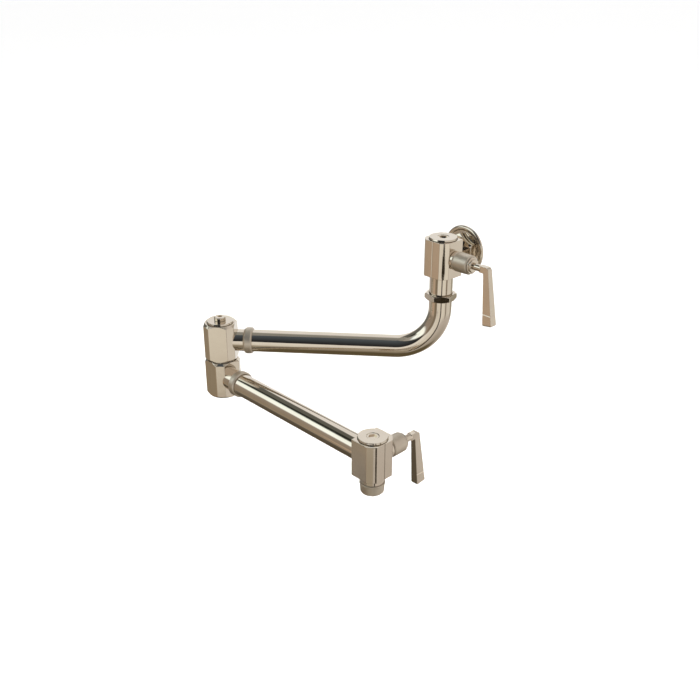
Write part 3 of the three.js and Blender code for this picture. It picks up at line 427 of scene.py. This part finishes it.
def showValve(prefix, place, owner, turning, withInlet):
    # body, cap, bonnet and lever; the body of the wall valve also has its inlet neck
    name = prefix + "ValveBody"
    mesh = gridMesh(name, placed(valveBodyPoints(), place), loopRows=False)
    if withInlet:
        radius, lip = inlet["diameter"] / 2, inlet["lip"] / 2
        line = [[0, inlet["start"]], [radius, inlet["start"]], [radius, inlet["lipStart"]],
                [lip, inlet["lipStart"]], [lip, inlet["end"]], [0, inlet["end"]]]
        points = turned(softened(line, edges["small"], closed=False), axis="y")
        mesh = joined(name, [mesh, gridMesh("neck", placed(points, place), loopRows=False)])
    show(name, mesh, prefix + "_valve_body", owner)
    showCap(prefix + "ValveCap", valve["height"] / 2, place, prefix + "_valve_cap", owner, True)
    showBonnet(prefix, place, owner)
    showLever(prefix, place, turning)


def showCap(name, seatAt, place, node, owner, withSocket):
    # A disc with a boss under it. A valve's cap has a dish with a hexagon socket in it, which
    # ends in a shallow cone, and the knuckle's cap has a bore.
    seat = seatAt + gap["running"]
    top, foot = seat + cap["thickness"], seat - cap["bossLength"]
    half, boss = cap["diameter"] / 2, cap["boss"] / 2
    rim = [[boss, foot], [boss, seat], [half, seat], [half - cap["lean"], top]]
    if withSocket:
        dish, floor = cap["dish"] / 2, top - cap["dishDepth"]
        line = [[0, foot]] + rim + [[dish, top], [dish - cap["dishDepth"], floor]]
        line += [[radius, floor] for radius in cap["floorRadii"]]
        deep = top - cap["socketDepth"]
        socket = hexSocket(cap["socket"], [(1, floor), (1, floor - cap["socketEdge"]),
                                           (1, deep + 0.2), (1, deep), (0.9, deep - 0.1),
                                           (0, deep - cap["tipDepth"])])
        outer = turned(softened(line, edges["plain"], closed=False))
        points = np.concatenate([outer, socket])
    else:
        line = [[cap["bore"] / 2, foot]] + rim + [[cap["bore"] / 2, top]]
        points = turned(softened(line, edges["plain"]))
    show(name, gridMesh(name, placed(points, place), loopRows=not withSocket), node, owner)


bonnet = {
    "bodyFace": 17.4, "ringDiameter": 20.0, "ringEnd": 21.5, "headBore": 12.5, "stemBore": 9.0,
    "headEnd": 25.5, "sleeveDiameter": 21.2, "sleeveTaper": 0.35, "sleeveBevel": 1.0,
    "sleeveEnd": 40.0, "collarDiameter": 18.0, "collarEnd": 42.0, "glandDiameter": 14.4,
    "glandEnd": 44.0, "spindle": 4.2, "bevel": 0.6,
}


def showBonnet(prefix, place, owner):
    # base ring, knurled sleeve and gland nut along +X
    b = bonnet
    bore, outer, bevel = b["headBore"] / 2, b["ringDiameter"] / 2, b["bevel"]
    start, end = b["bodyFace"] + gap["seat"], b["ringEnd"]
    ring = [[bore, start], [outer - bevel, start], [outer, start + bevel], [outer, end - bevel],
            [outer - bevel, end], [bore, end]]
    showTurned(prefix + "BaseRing", ring, edges["plain"], place, prefix + "_bonnet_base_ring",
               owner, "x")

    start, end = b["ringEnd"] + gap["seat"], b["sleeveEnd"]
    outer, far = b["sleeveDiameter"] / 2, b["sleeveDiameter"] / 2 - b["sleeveTaper"]
    bevel, inner = b["sleeveBevel"], b["stemBore"] / 2
    shoulder = b["headEnd"] + gap["seat"]
    sleeve = [[bore, start], [outer - bevel, start], [outer, start + bevel], [far, end - bevel],
              [far - bevel, end], [inner, end], [inner, shoulder], [bore, shoulder]]
    showKnurled(prefix + "Sleeve", sleeve, edges["wide"], (start + bevel, end - bevel),
                b["sleeveDiameter"], place, prefix + "_bonnet_sleeve", owner, "x")

    start, bevel = b["sleeveEnd"] + gap["seat"], b["bevel"]
    hole = b["spindle"] / 2 + gap["running"]
    collar, gland = b["collarDiameter"] / 2, b["glandDiameter"] / 2
    nut = [[hole, start], [collar - bevel, start], [collar, start + bevel],
           [collar, b["collarEnd"] - bevel], [collar - bevel, b["collarEnd"]],
           [gland, b["collarEnd"]], [gland, b["glandEnd"] - bevel],
           [gland - bevel, b["glandEnd"]], [hole, b["glandEnd"]]]
    showTurned(prefix + "GlandNut", nut, edges["plain"], place, prefix + "_gland_nut", owner, "x")


# lineRows are heights across the engraved line, counted from its deepest one. The line has a
# shallow lower side and is as coarse as it needs to be to show.
lever = {
    "hub": 52.5, "inner": 58.2, "flare": 4.2, "thickTop": 6.8, "thickBottom": 11.6,
    "height": 7.2, "hang": 60.5, "widthTop": 6.0, "widthBottom": 9.0, "corner": 4.5,
    "fillet": 1.2, "edge": 0.45, "boss": 7.4, "bossFrom": 44.3, "bossLap": 1.5,
    "bossSides": 64, "socket": 4.7, "barFrom": 3.0, "barRows": 14, "lineRise": 13.3,
    "lineDepth": 0.3, "lineRows": [0.7, 0.45, 0.25, 0.0, -0.75, -0.8, -1.1],
    "lineMargin": 1.5, "endFrom": 6.0, "endRows": 5, "endRise": 2.4, "endDrop": 0.7,
    "endEdge": 1.5, "endLead": [3.0, 1.8], "endInset": [2.1, 4.4],
}


def leverSections():
    # Sections across the L, each with its inner and outer point in the XZ plane, its width and
    # how much it is cut back inside, outside and at both sides. They stand upright in the cross
    # bar, fan round the inner corner and lie level in the hanging bar.
    v = lever
    top, low = v["height"] / 2, -v["hang"]
    outerTop = v["inner"] + v["thickTop"]
    outerBottom = v["inner"] + v["flare"] + v["thickBottom"]
    x = np.linspace(v["hub"], v["inner"] - v["fillet"], 5)
    t = np.linspace(0, math.pi / 2, 13)
    cornerX = outerTop - v["corner"]
    line = low + v["lineRise"]
    z = np.concatenate([
        np.linspace(-top - v["barFrom"], line + v["lineMargin"], v["barRows"]),
        line + np.array(v["lineRows"]),
        np.linspace(line - v["lineMargin"], low + v["endFrom"], v["endRows"]),
    ])
    down = (z + top) / (low + top)
    lowOuter = low + v["endRise"]
    downOuter = (z - top + v["corner"]) / (lowOuter - top + v["corner"])
    inner = np.concatenate([
        np.column_stack([x, 0 * x - top]),
        np.column_stack([v["inner"] + v["fillet"] * (np.sin(t) - 1),
                         -top + v["fillet"] * (np.cos(t) - 1)]),
        np.column_stack([v["inner"] + v["flare"] * down, z]),
    ])
    outer = np.concatenate([
        np.column_stack([x, 0 * x + top]),
        np.column_stack([cornerX + v["corner"] * np.sin(t), top + v["corner"] * (np.cos(t) - 1)]),
        np.column_stack([outerTop + (outerBottom - outerTop) * downOuter, z]),
    ])
    # the last stretch leans to the sloping end, and its rim is rounded by a quarter circle
    endInner = np.array([v["inner"] + v["flare"], low])
    endOuter = np.array([outerBottom, lowOuter - v["endDrop"]])
    turn = np.linspace(0, math.pi / 2, 7)
    away = np.concatenate([v["endLead"], v["endEdge"] * (1 - np.sin(turn)), [0, 0]])
    inset = np.concatenate([[0, 0], v["endEdge"] * (1 - np.cos(turn)), v["endInset"]])
    lastInner, lastOuter = inner[-1], outer[-1]
    upInner = (lastInner - endInner) / np.linalg.norm(lastInner - endInner)
    upOuter = (lastOuter - endOuter) / np.linalg.norm(lastOuter - endOuter)
    inner = np.concatenate([inner, endInner + upInner * away[:, None]])
    outer = np.concatenate([outer, endOuter + upOuter * away[:, None]])
    share = np.clip((top - (inner[:, 1] + outer[:, 1]) / 2) / (top - low), 0, 1)
    width = v["widthTop"] + (v["widthBottom"] - v["widthTop"]) * share
    inside = np.zeros(len(width))
    inside[-len(inset):] = inset
    outside = inside.copy()
    outside[len(x) + len(t) + v["barRows"] + v["lineRows"].index(0.0)] = v["lineDepth"]
    return inner, outer, width, inside, outside


def leverPoints():
    # Each section is a rounded rectangle: u across the width, w from the inner to the outer
    # point. A small ring and its centre close the first section, and a centre the last.
    inner, outer, width, inside, outside = leverSections()
    along = outer - inner
    length = np.linalg.norm(along, axis=1)
    along /= length[:, None]
    least = 0.02
    half = np.maximum(width / 2 - outside, least)
    start, end = inside, np.maximum(length - outside, inside + least)
    u = np.stack([-half, half, half, -half])
    w = np.stack([start, start, end, end])
    ring = softened(np.stack([u, w], -1), lever["edge"], steps=5)
    u, w = ring[..., 0], ring[..., 1]
    x = inner[:, 0] + along[:, 0] * w
    z = inner[:, 1] + along[:, 1] * w
    points = np.stack([x, u, z], -1).transpose(1, 0, 2)
    first, last = points[:1].mean(1, keepdims=True), points[-1:].mean(1, keepdims=True)
    return np.concatenate([first + 0 * points[:1], first + (points[:1] - first) * 0.8,
                           points, last + 0 * points[-1:]])


def showLever(prefix, place, owner):
    # the hanging bar with its cross bar, and the round boss that takes the stem
    v = lever
    name = prefix + "Lever"
    bar = gridMesh(name, placed(leverPoints(), place), loopRows=False)
    hole, outer = v["socket"] / 2, v["boss"] / 2
    start, end = v["bossFrom"], v["hub"] + v["bossLap"]
    line = softened([[hole, start], [outer, start], [outer, end], [hole, end]], edges["wide"])
    boss = gridMesh("boss", placed(turned(line, v["bossSides"], axis="x"), place))
    show(name, joined(name, [bar, boss]), prefix + "_lever", owner)


nuts = {"corner": 0.4, "slope": 0.6}


def showNut(name, acrossFlats, turn, bore, bottom, top, place, node, owner, axis="z"):
    # a hexagon turned by an angle, its ends falling in a cone from the flats to the corners
    t = np.radians(turn) + np.arange(6) * math.pi / 3
    corners = acrossFlats / math.sqrt(3) * np.stack([np.cos(t), np.sin(t)], -1)
    outline = filledProfile(softened(corners, nuts["corner"], steps=5), outlineStep)
    points = conedPrism(outline, bore / 2, bottom, top, acrossFlats / 2, nuts["slope"],
                        edges["wide"])
    show(name, gridMesh(name, placed(stood(points, axis), place)), node, owner)


union = {"flats": 35.0, "front": 25.0, "thickness": 8.4, "bore": 24.5}
showNut("unionNut", union["flats"], 0, union["bore"], union["front"],
        union["front"] + union["thickness"], places["wall"], "union_nut", "wall_valve", "y")

# a round band along the rim, a valley inside it and a low cone up to the nut
flange = {"diameter": 53.4, "depth": 2.6, "hub": 12.8, "hubFront": 33.7, "band": 2.8,
          "bandTurn": 150, "valley": 1.2, "valleyFromRim": 6.0, "coneEnd": 17.0, "sides": 160}
outer, wallFace = flange["diameter"] / 2, arms["wallToAxis"]
turn = np.radians(np.linspace(0, flange["bandTurn"], 11))
rimBand = np.column_stack([outer - flange["band"] * (1 - np.cos(turn)),
                           wallFace - flange["depth"] * np.sin(turn)])
cone = [[outer - flange["valleyFromRim"], wallFace - flange["valley"]],
        [flange["coneEnd"], flange["hubFront"]], [flange["hub"], flange["hubFront"]],
        [flange["hub"], wallFace]]
showTurned("wallFlange", np.concatenate([rimBand, cone])[::-1], edges["wide"], places["wall"],
           "wall_flange", "wall_valve", "y", flange["sides"])

showValve("wall", places["wall"], "wall_valve", "wall_handle", True)
showValve("spout", places["spout"], "lower_arm", "spout_handle", False)
print("valves made")

swivel = {
    "stub": 25.6, "shoulder": 40.8, "thread": 23.8, "bore": 20.0, "boreTop": 25.0, "port": 11.2,
    "portThread": 15.5, "threadLength": 6.7, "nutFlats": 30.6, "nutThickness": 7.3,
    "nutBore": 26.0, "nutTurn": -15.0, "tubeTop": -45.7,
}
under = -valve["height"] / 2
portTop = under + swivel["threadLength"]
port, portThread = swivel["port"] / 2, swivel["portThread"] / 2
stub, thread, bore = swivel["stub"] / 2, swivel["thread"] / 2, swivel["bore"] / 2
shoulder, threadEnd = gap["seat"] - swivel["shoulder"], swivel["tubeTop"] + gap["running"]
stubLine = [[port, portTop], [portThread, portTop], [portThread, under - gap["seat"]],
            [stub, under - gap["seat"]], [stub, shoulder], [thread, shoulder],
            [thread, threadEnd], [bore, threadEnd], [bore, -swivel["boreTop"]],
            [port, -swivel["boreTop"]]]
showTurned("swivelStub", stubLine, edges["small"], places["wall"], "swivel_stub", "wall_valve")
showNut("swivelNut", swivel["nutFlats"], swivel["nutTurn"], swivel["nutBore"],
        -swivel["shoulder"] - swivel["nutThickness"], -swivel["shoulder"], places["wall"],
        "swivel_nut", "wall_valve")

tubeEnd = arms["neckLength"] + arms["neckLap"]


def upperTubePath():
    # down from the swivel, a quarter circle, then level out to the knuckle
    radius = arms["bend"]
    down = np.linspace(swivel["tubeTop"], radius - arms["drop"], 3)
    first = np.stack([0 * down, 0 * down, down], -1)
    t = np.linspace(0, math.pi / 2, 33)[1:]
    bend = np.stack([radius * (1 - np.cos(t)), 0 * t,
                     radius - arms["drop"] - radius * np.sin(t)], -1)
    along = np.linspace(radius, arms["reach"] - tubeEnd, 4)[1:]
    level = np.stack([along, 0 * along, 0 * along - arms["drop"]], -1)
    path = np.concatenate([first, bend, level])
    tangents = np.concatenate([
        np.tile([0.0, 0, -1], (3, 1)),
        np.stack([np.sin(t), 0 * t, -np.cos(t)], -1),
        np.tile([1.0, 0, 0], (3, 1)),
    ])
    return path, tangents


def showTube(name, path, tangents, place, node, owner):
    # outer wall out and inner wall back, so that the tube closes at both lips
    side = np.array([0.0, 1, 0])
    outside = carried(path, tangents, side, arms["tube"] / 2, around)
    inside = carried(path, tangents, side, arms["bore"] / 2, around)[::-1]
    mesh = gridMesh(name, placed(np.concatenate([outside, inside]), place))
    show(name, mesh, node, owner)


showTube("upperTube", *upperTubePath(), places["upper"], "upper_arm_tube", "upper_arm")

# the plug's lip lies between the end of the lower tube and the back of the spout valve
plug = {"bore": 11.0, "insert": 21.9, "lip": 25.4, "thread": 14.5, "depth": 10.0,
        "lipLength": 1.75, "threadLength": 1.6, "tubeBefore": 2.0}
plugEnd = arms["reach"] - valve["back"] - gap["running"]
run = np.linspace(tubeEnd, plugEnd - plug["tubeBefore"], 5)
lowerPath = np.stack([run, 0 * run, 0 * run], -1)
showTube("lowerTube", lowerPath, np.tile([1.0, 0, 0], (len(run), 1)), places["lower"],
         "lower_arm_tube", "lower_arm")

bore, insert, lip, thread = (plug[key] / 2 for key in ("bore", "insert", "lip", "thread"))
start, lipStart = plugEnd - plug["depth"], plugEnd - plug["lipLength"]
end = plugEnd + plug["threadLength"]
plugLine = [[bore, start], [insert, start], [insert, lipStart], [lip, lipStart], [lip, plugEnd],
            [thread, plugEnd], [thread, end], [bore, end]]
showTurned("endPlug", plugLine, edges["small"], places["lower"], "lower_arm_end_plug",
           "lower_arm", "x")

knuckle = {"width": 35.0, "corner": 7.1, "height": 43.6, "endRadius": 17.6, "slope": 1.0,
           "neck": 25.0, "neckFrom": 8.0, "insert": 14.0, "edge": 0.5, "endEdge": 0.35}


def knuckleOutline():
    # a square with its corners cut off: two points, turned by 90 degrees four times
    half = knuckle["width"] / 2
    crease = half - knuckle["corner"]
    quarter = np.array([[half, crease], [crease, half]])
    turns = [np.linalg.matrix_power(np.array([[0, 1], [-1, 0]]), k) for k in range(4)]
    corners = np.concatenate([quarter @ turn for turn in turns])
    return filledProfile(softened(corners, knuckle["edge"], steps=5), outlineStep)


def showKnuckle(name, place, node, owner):
    # the upright block, and its neck along +X that goes into the tube
    tall = knuckle["height"] / 2
    points = conedPrism(knuckleOutline(), 0.0, -tall, tall, knuckle["endRadius"],
                        knuckle["slope"], knuckle["endEdge"])
    block = gridMesh(name, placed(points, place), loopRows=False)
    start, neckEnd = knuckle["neckFrom"], tubeEnd - gap["seat"]
    insertEnd = tubeEnd + knuckle["insert"]
    radius, insert = knuckle["neck"] / 2, arms["bore"] / 2 - gap["seat"]
    line = [[0, start], [radius, start], [radius, neckEnd], [insert, neckEnd],
            [insert, insertEnd], [0, insertEnd]]
    points = turned(softened(line, edges["small"], closed=False), axis="x")
    neck = gridMesh("neck", placed(points, place), loopRows=False)
    show(name, joined(name, [block, neck]), node, owner)


showKnuckle("upperKnuckle", places["upperKnuckle"], "upper_knuckle_block", "upper_arm")
showKnuckle("lowerKnuckle", places["lower"], "lower_knuckle_block", "lower_arm")
showCap("knuckleCap", knuckle["height"] / 2, places["upperKnuckle"], "knuckle_cap", "upper_arm",
        False)

screw = {"head": 13.0, "height": 4.1, "bevel": 0.6, "shank": 8.0, "shankFrom": 16.1, "key": 5.0,
         "rimRadii": [3.4, 3.2], "keyEdge": 0.3}


def showScrew():
    # a round head on a shank, with a hexagon socket down to half its height
    seat = knuckle["height"] / 2 + gap["running"] + cap["thickness"] + gap["seat"]
    top = seat + screw["height"]
    half, shank, bevel = screw["head"] / 2, screw["shank"] / 2, screw["bevel"]
    line = [[0, screw["shankFrom"]], [shank, screw["shankFrom"]], [shank, seat], [half, seat],
            [half, top - bevel], [half - bevel, top]]
    line += [[radius, top] for radius in screw["rimRadii"]]
    deep = top - screw["height"] / 2
    socket = hexSocket(screw["key"], [(1, top), (1, top - screw["keyEdge"]), (1, deep), (0, deep)])
    outer = turned(softened(line, edges["plain"], closed=False))
    points = placed(np.concatenate([outer, socket]), places["upperKnuckle"])
    mesh = gridMesh("knuckleScrew", points, loopRows=False)
    show("knuckleScrew", mesh, "knuckle_screw", "upper_arm")


showScrew()

collar = {"diameter": 30.0, "length": 9.7, "cone": 2.0, "bevel": 1.2}


def showCollar(name, place, node, owner):
    # a knurled ring with a cone towards the block, over the joint of neck and tube
    start = arms["neckLength"] + gap["seat"]
    end, step = start + collar["length"], tubeEnd - gap["seat"]
    outer, cone, bevel = collar["diameter"] / 2, collar["cone"], collar["bevel"]
    onTube, onNeck = arms["tube"] / 2 + gap["seat"], knuckle["neck"] / 2 + gap["seat"]
    line = [[onNeck, start], [outer - cone, start], [outer, start + cone], [outer, end - bevel],
            [outer - bevel, end], [onTube, end], [onTube, step], [onNeck, step]]
    showKnurled(name, line, edges["wide"], (start + cone, end - bevel), collar["diameter"],
                place, node, owner, "x")


showCollar("upperCollar", places["upperKnuckle"], "upper_arm_collar", "upper_arm")
showCollar("lowerCollar", places["lower"], "lower_arm_collar", "lower_arm")
print("arms made")

spout = {"neck": 24.0, "top": 28.8, "thread": 18.6, "threadEnd": 33.2, "bore": 13.2,
         "boreTop": 1.0, "ring": 26.0, "ringBore": 19.1, "taper": 24.0, "knurled": 25.0,
         "length": 12.0, "bevel": 0.4, "band": 1.6, "endBevel": 1.4, "mouth": 16.8,
         "mouthTop": 35.9, "slots": 10, "slotWidth": 1.6, "slotDepth": 1.2}
neck, thread, bore = spout["neck"] / 2, spout["thread"] / 2, spout["bore"] / 2
shoulder, boreTop = gap["seat"] - spout["top"], under - spout["boreTop"]
nippleLine = [[port, portTop], [portThread, portTop], [portThread, under - gap["seat"]],
              [neck, under - gap["seat"]], [neck, shoulder], [thread, shoulder],
              [thread, -spout["threadEnd"]], [bore, -spout["threadEnd"]], [bore, boreTop],
              [port, boreTop]]
showTurned("spoutNipple", nippleLine, edges["small"], places["spout"], "spout_nipple",
           "lower_arm")

top, bottom = -spout["top"], -spout["top"] - spout["length"]


def slotted(points):
    # the lower edge is cut away where the angle comes near one of the slots
    x, y = points[..., 0], points[..., 1]
    sector = 2 * math.pi / spout["slots"]
    away = np.abs((np.arctan2(y, x) + sector / 2) % sector - sector / 2) * np.hypot(x, y)
    cutTo = bottom + spout["slotDepth"]
    inSlot = (away < spout["slotWidth"] / 2) & (points[..., 2] < cutTo)
    lifted = points.copy()
    lifted[..., 2] = np.where(inSlot, cutTo, points[..., 2])
    return lifted


outer = spout["ring"] / 2
step = outer - spout["taper"] / 2
bandEnd, bevelStart = top - spout["band"] - step / 2, bottom + spout["endBevel"]
bore, mouth, mouthTop = spout["ringBore"] / 2, spout["mouth"] / 2, -spout["mouthTop"]
housingLine = [[bore, top], [outer - spout["bevel"], top], [outer, top - spout["bevel"]],
               [outer, top - spout["band"]], [outer - step / 2, bandEnd],
               [outer - step, bevelStart], [outer - step - spout["endBevel"], bottom],
               [mouth, bottom], [mouth, mouthTop], [bore, mouthTop]]
showKnurled("aeratorHousing", housingLine, edges["small"], (bevelStart, bandEnd),
            spout["knurled"], places["spout"], "aerator_housing", "lower_arm", cut=slotted)

# the pieces inside keep their drawn shape and get their own finish
slots = {part["node"]: part["material_slot"] for part in frame["record"]["subparts"]}
for node, piece in frame["nodes"].items():
    if node not in replaced:
        piece.data.materials.clear()
        piece.data.materials.append(finishes[slots[node]])
print("inner pieces finished:", len(frame["nodes"]) - len(replaced))

# Boards and openings round the object, each a patch of a far sphere: azimuth from and to,
# counted from +X towards the wall, elevation from and to, softness of the edge in degrees, and
# the colour at its foot and its head. A later board lies in front of an earlier one.
boards = {
    "room": (160, 455, -91, 91, 6, "#b3aeaa", "#8d8c87"),
    "ceiling": (-181, 181, 66, 91, 14, "#888984", "#767777"),
    "rightWall": (-35, 68, -30, 60, 8, "#c5c2bc", "#bab4b1"),
    "rightFar": (66, 92, -30, 60, 10, "#8b877a", "#a6a29a"),
    "rightEdge": (4, 15, -30, 12, 5, "#7e786b", "#888277"),
    "farCorner": (160, 215, -18, 58, 7, "#696a67", "#555652"),
    "darkDoor": (198, 216, 34, 50, 6, "#272a25", "#272a25"),
    "window": (-151, -96, 13, 36, 7, "#f7ffff", "#f1ffff"),
    "windowTop": (-128, -98, 30, 46, 10, "#f7ffff", "#e1f4ff"),
    "leftTan": (-160, -88, -32, 9, 7, "#837866", "#8b8178"),
    "warmPanel": (-133, -106, -33, -14, 5, "#a68e77", "#a69889"),
    "leftShade": (-100, -82, -30, 4, 6, "#736a59", "#7a6f62"),
    "darkCeiling": (-91, -36, 8.5, 79, 6, "#171411", "#4b535c"),
    "creamLow": (-80, -46, -29, 8, 6, "#c7c3b9", "#d7d5d2"),
    "creamRight": (-34, -6, -28, 4, 6, "#cdcac2", "#d1cec9"),
    "floorLeft": (150, 262, -62, -33, 8, "#494437", "#534c42"),
    "floorMid": (-98, -40, -64, -28, 10, "#5e5543", "#9a9284"),
    "floorRight": (-40, 152, -62, -30, 12, "#888175", "#b4aea8"),
    "nadir": (-181, 181, -91, -60, 10, "#514936", "#544b36"),
}
# The studio's lengths are in metres.
studio = {"reach": 20.0, "spacing": 0.5, "columns": 120, "rows": 80, "plain": 1.0, "boost": 1.5,
          "floorDepth": -0.6, "floorSize": 60.0, "lampAway": 3.0, "lampSize": 1.6,
          "lampPower": 120.0, "lampAzimuth": -122, "lampHeight": 32}
# A narrow dark upright panel near the part: the curved faces of both valves show it as a streak.
panel = {"x": 0.344, "y": -0.325, "foot": -0.6, "head": 0.05, "soft": 0.14, "headFade": 0.05,
         "heights": [-0.18, -0.172, -0.14, -0.12], "widths": [0.07, 0.18, 0.13, 0.04],
         "columns": 41, "rows": 240, "colour": "#29241a"}


def smoothStep(value):
    # 3 v v - 2 v v v between 0 and 1
    value = np.clip(value, 0, 1)
    return value * value * (3 - 2 * value)


def boardMaterial(name, foot, head):
    # glows in its own colour and thins out to nothing at its edge
    material = bpy.data.materials.new(name)
    material.use_nodes = True
    tree = material.node_tree
    tree.nodes.clear()
    rise = addNode(tree, "ShaderNodeAttribute", attribute_name="rise")
    fade = addNode(tree, "ShaderNodeAttribute", attribute_name="fade")
    mix = addNode(tree, "ShaderNodeMix", {"Factor": rise.outputs["Fac"]},
                  {6: colour(foot), 7: colour(head)}, data_type="RGBA")
    glow = addNode(tree, "ShaderNodeEmission", {"Color": mix.outputs[2]},
                   {"Strength": studio["boost"]})
    clear = addNode(tree, "ShaderNodeBsdfTransparent")
    blend = addNode(tree, "ShaderNodeMixShader",
                    {0: fade.outputs["Fac"], 1: clear.outputs[0], 2: glow.outputs[0]})
    addNode(tree, "ShaderNodeOutputMaterial", {"Surface": blend.outputs[0]})
    return material


def showGlow(name, points, fade, rise, foot, head):
    # a grid of points in metres that only the gloss of the metal sees
    rows, columns = fade.shape
    row, column = np.meshgrid(np.arange(rows - 1), np.arange(columns - 1), indexing="ij")
    corner = row * columns + column
    quads = np.stack([corner, corner + 1, corner + columns + 1, corner + columns], -1)
    mesh = bpy.data.meshes.new(name)
    mesh.from_pydata(points.reshape(-1, 3).tolist(), [], quads.reshape(-1, 4).tolist())
    for key, value in (("fade", fade), ("rise", rise)):
        values = mesh.attributes.new(key, "FLOAT", "POINT").data
        values.foreach_set("value", value.astype(np.float32).ravel())
    mesh.materials.append(boardMaterial(name, foot, head))
    piece = bpy.data.objects.new(name, mesh)
    bpy.context.scene.collection.objects.link(piece)
    piece.visible_camera = piece.visible_diffuse = piece.visible_shadow = False
    piece.visible_transmission = False


def showBoard(name, board, radius):
    # x = r cos e cos a, y = r cos e sin a, z = r sin e over a grid of azimuth and elevation
    fromAzimuth, toAzimuth, fromHeight, toHeight, soft, foot, head = board
    edge = soft / 2
    a = np.linspace(fromAzimuth - edge, toAzimuth + edge, studio["columns"])
    e = np.linspace(max(fromHeight - edge, -90), min(toHeight + edge, 90), studio["rows"])
    azimuth, height = np.meshgrid(a, e)
    away = np.abs(azimuth - (fromAzimuth + toAzimuth) / 2) - (toAzimuth - fromAzimuth) / 2
    over = np.abs(height - (fromHeight + toHeight) / 2) - (toHeight - fromHeight) / 2
    fade = smoothStep((edge - away) / soft) * smoothStep((edge - over) / soft)
    rise = np.clip((height - fromHeight) / (toHeight - fromHeight), 0, 1)
    ar, er = np.radians(azimuth), np.radians(height)
    points = np.stack([np.cos(er) * np.cos(ar), np.cos(er) * np.sin(ar), np.sin(er)], -1)
    showGlow(name, radius * points, fade, rise, foot, head)


def showPanel():
    # An upright panel that faces the part, wider over a stretch of its height: across runs
    # sideways, z upwards. Both sides and the head fade.
    p = panel
    place = np.array([p["x"], p["y"], 0.0])
    sideways = np.array([-p["y"], p["x"], 0.0]) / math.hypot(p["x"], p["y"])
    across, z = np.meshgrid(np.linspace(-0.5, 0.5, p["columns"]),
                            np.linspace(p["foot"], p["head"], p["rows"]))
    width = np.interp(z, p["heights"], p["widths"])
    points = place + (across * width)[..., None] * sideways
    points[..., 2] = z
    fade = smoothStep((0.5 - np.abs(across)) / p["soft"])
    fade = fade * smoothStep((p["head"] - z) / p["headFade"])
    showGlow("darkPanel", points, fade, 0 * fade, p["colour"], p["colour"])


def makeWorld():
    # white for the camera and for what shines, and a plain level of light for everything else
    world = bpy.data.worlds.new("softStudio")
    bpy.context.scene.world = world
    world.use_nodes = True
    tree = world.node_tree
    tree.nodes.clear()
    rays = addNode(tree, "ShaderNodeLightPath")
    gloss = addNode(tree, "ShaderNodeMath", {0: rays.outputs["Is Glossy Ray"],
                                             1: rays.outputs["Is Transmission Ray"]},
                    operation="MAXIMUM")
    seen = addNode(tree, "ShaderNodeMath", {0: rays.outputs["Is Camera Ray"],
                                            1: gloss.outputs[0]}, operation="MAXIMUM")
    light = addNode(tree, "ShaderNodeBackground",
                    inputs={"Color": colour("#ffffff"), "Strength": studio["plain"]})
    white = addNode(tree, "ShaderNodeBackground",
                    inputs={"Color": colour("#ffffff"), "Strength": 1.0})
    pick = addNode(tree, "ShaderNodeMixShader",
                   {0: seen.outputs[0], 1: light.outputs[0], 2: white.outputs[0]})
    addNode(tree, "ShaderNodeOutputWorld", {"Surface": pick.outputs[0]})


def makeFloor():
    # A plain pale floor far below the part. It takes the part's shadow; the gloss of the metal
    # sees the boards instead of it.
    half = studio["floorSize"] / 2
    mesh = bpy.data.meshes.new("paleFloor")
    corners = [(-half, -half), (half, -half), (half, half), (-half, half)]
    mesh.from_pydata([(x, y, studio["floorDepth"]) for x, y in corners], [], [(0, 1, 2, 3)])
    # Matt white paint: an even white without a highlight.
    material, tree, _ = startMaterial("mattWhitePaint")
    closeMaterial(tree, {"Base Color": colour("#ffffff"), "Roughness": 0.9}, {})
    mesh.materials.append(material)
    piece = bpy.data.objects.new("paleFloor", mesh)
    bpy.context.scene.collection.objects.link(piece)
    piece.visible_glossy = False


def makeLamp():
    # one large soft lamp on the side of the bright window board
    azimuth, height = math.radians(studio["lampAzimuth"]), math.radians(studio["lampHeight"])
    away = Vector((math.cos(height) * math.cos(azimuth), math.cos(height) * math.sin(azimuth),
                   math.sin(height)))
    lamp = bpy.data.lights.new("softLamp", "AREA")
    lamp.shape, lamp.size, lamp.energy = "DISK", studio["lampSize"], studio["lampPower"]
    lamp.color = colour("#fffcf8")[:3]
    holder = bpy.data.objects.new("softLamp", lamp)
    holder.location = away * studio["lampAway"]
    holder.rotation_mode = "QUATERNION"
    holder.rotation_quaternion = (-away).to_track_quat("-Z", "Y")
    holder.visible_glossy = False
    bpy.context.scene.collection.objects.link(holder)


makeWorld()
for count, (name, board) in enumerate(boards.items()):
    showBoard(name, board, studio["reach"] - studio["spacing"] * count)
showPanel()
makeFloor()
makeLamp()
print("studio made")

# the viewer's place in metres and the direction of the view
view = {"eye": (0.599207, -0.735382, 0.310563), "look": (-0.6617, 0.6227, -0.4174),
        "sensor": 36.0, "lens": 46.289}
camera = bpy.data.cameras.new("camera")
camera.sensor_width, camera.lens = view["sensor"], view["lens"]
viewer = bpy.data.objects.new("camera", camera)
viewer.location = Vector(view["eye"])
viewer.rotation_mode = "QUATERNION"
viewer.rotation_quaternion = Vector(view["look"]).to_track_quat("-Z", "Y")
bpy.context.scene.collection.objects.link(viewer)
bpy.context.scene.camera = viewer
bpy.context.scene.view_settings.view_transform = "Standard"
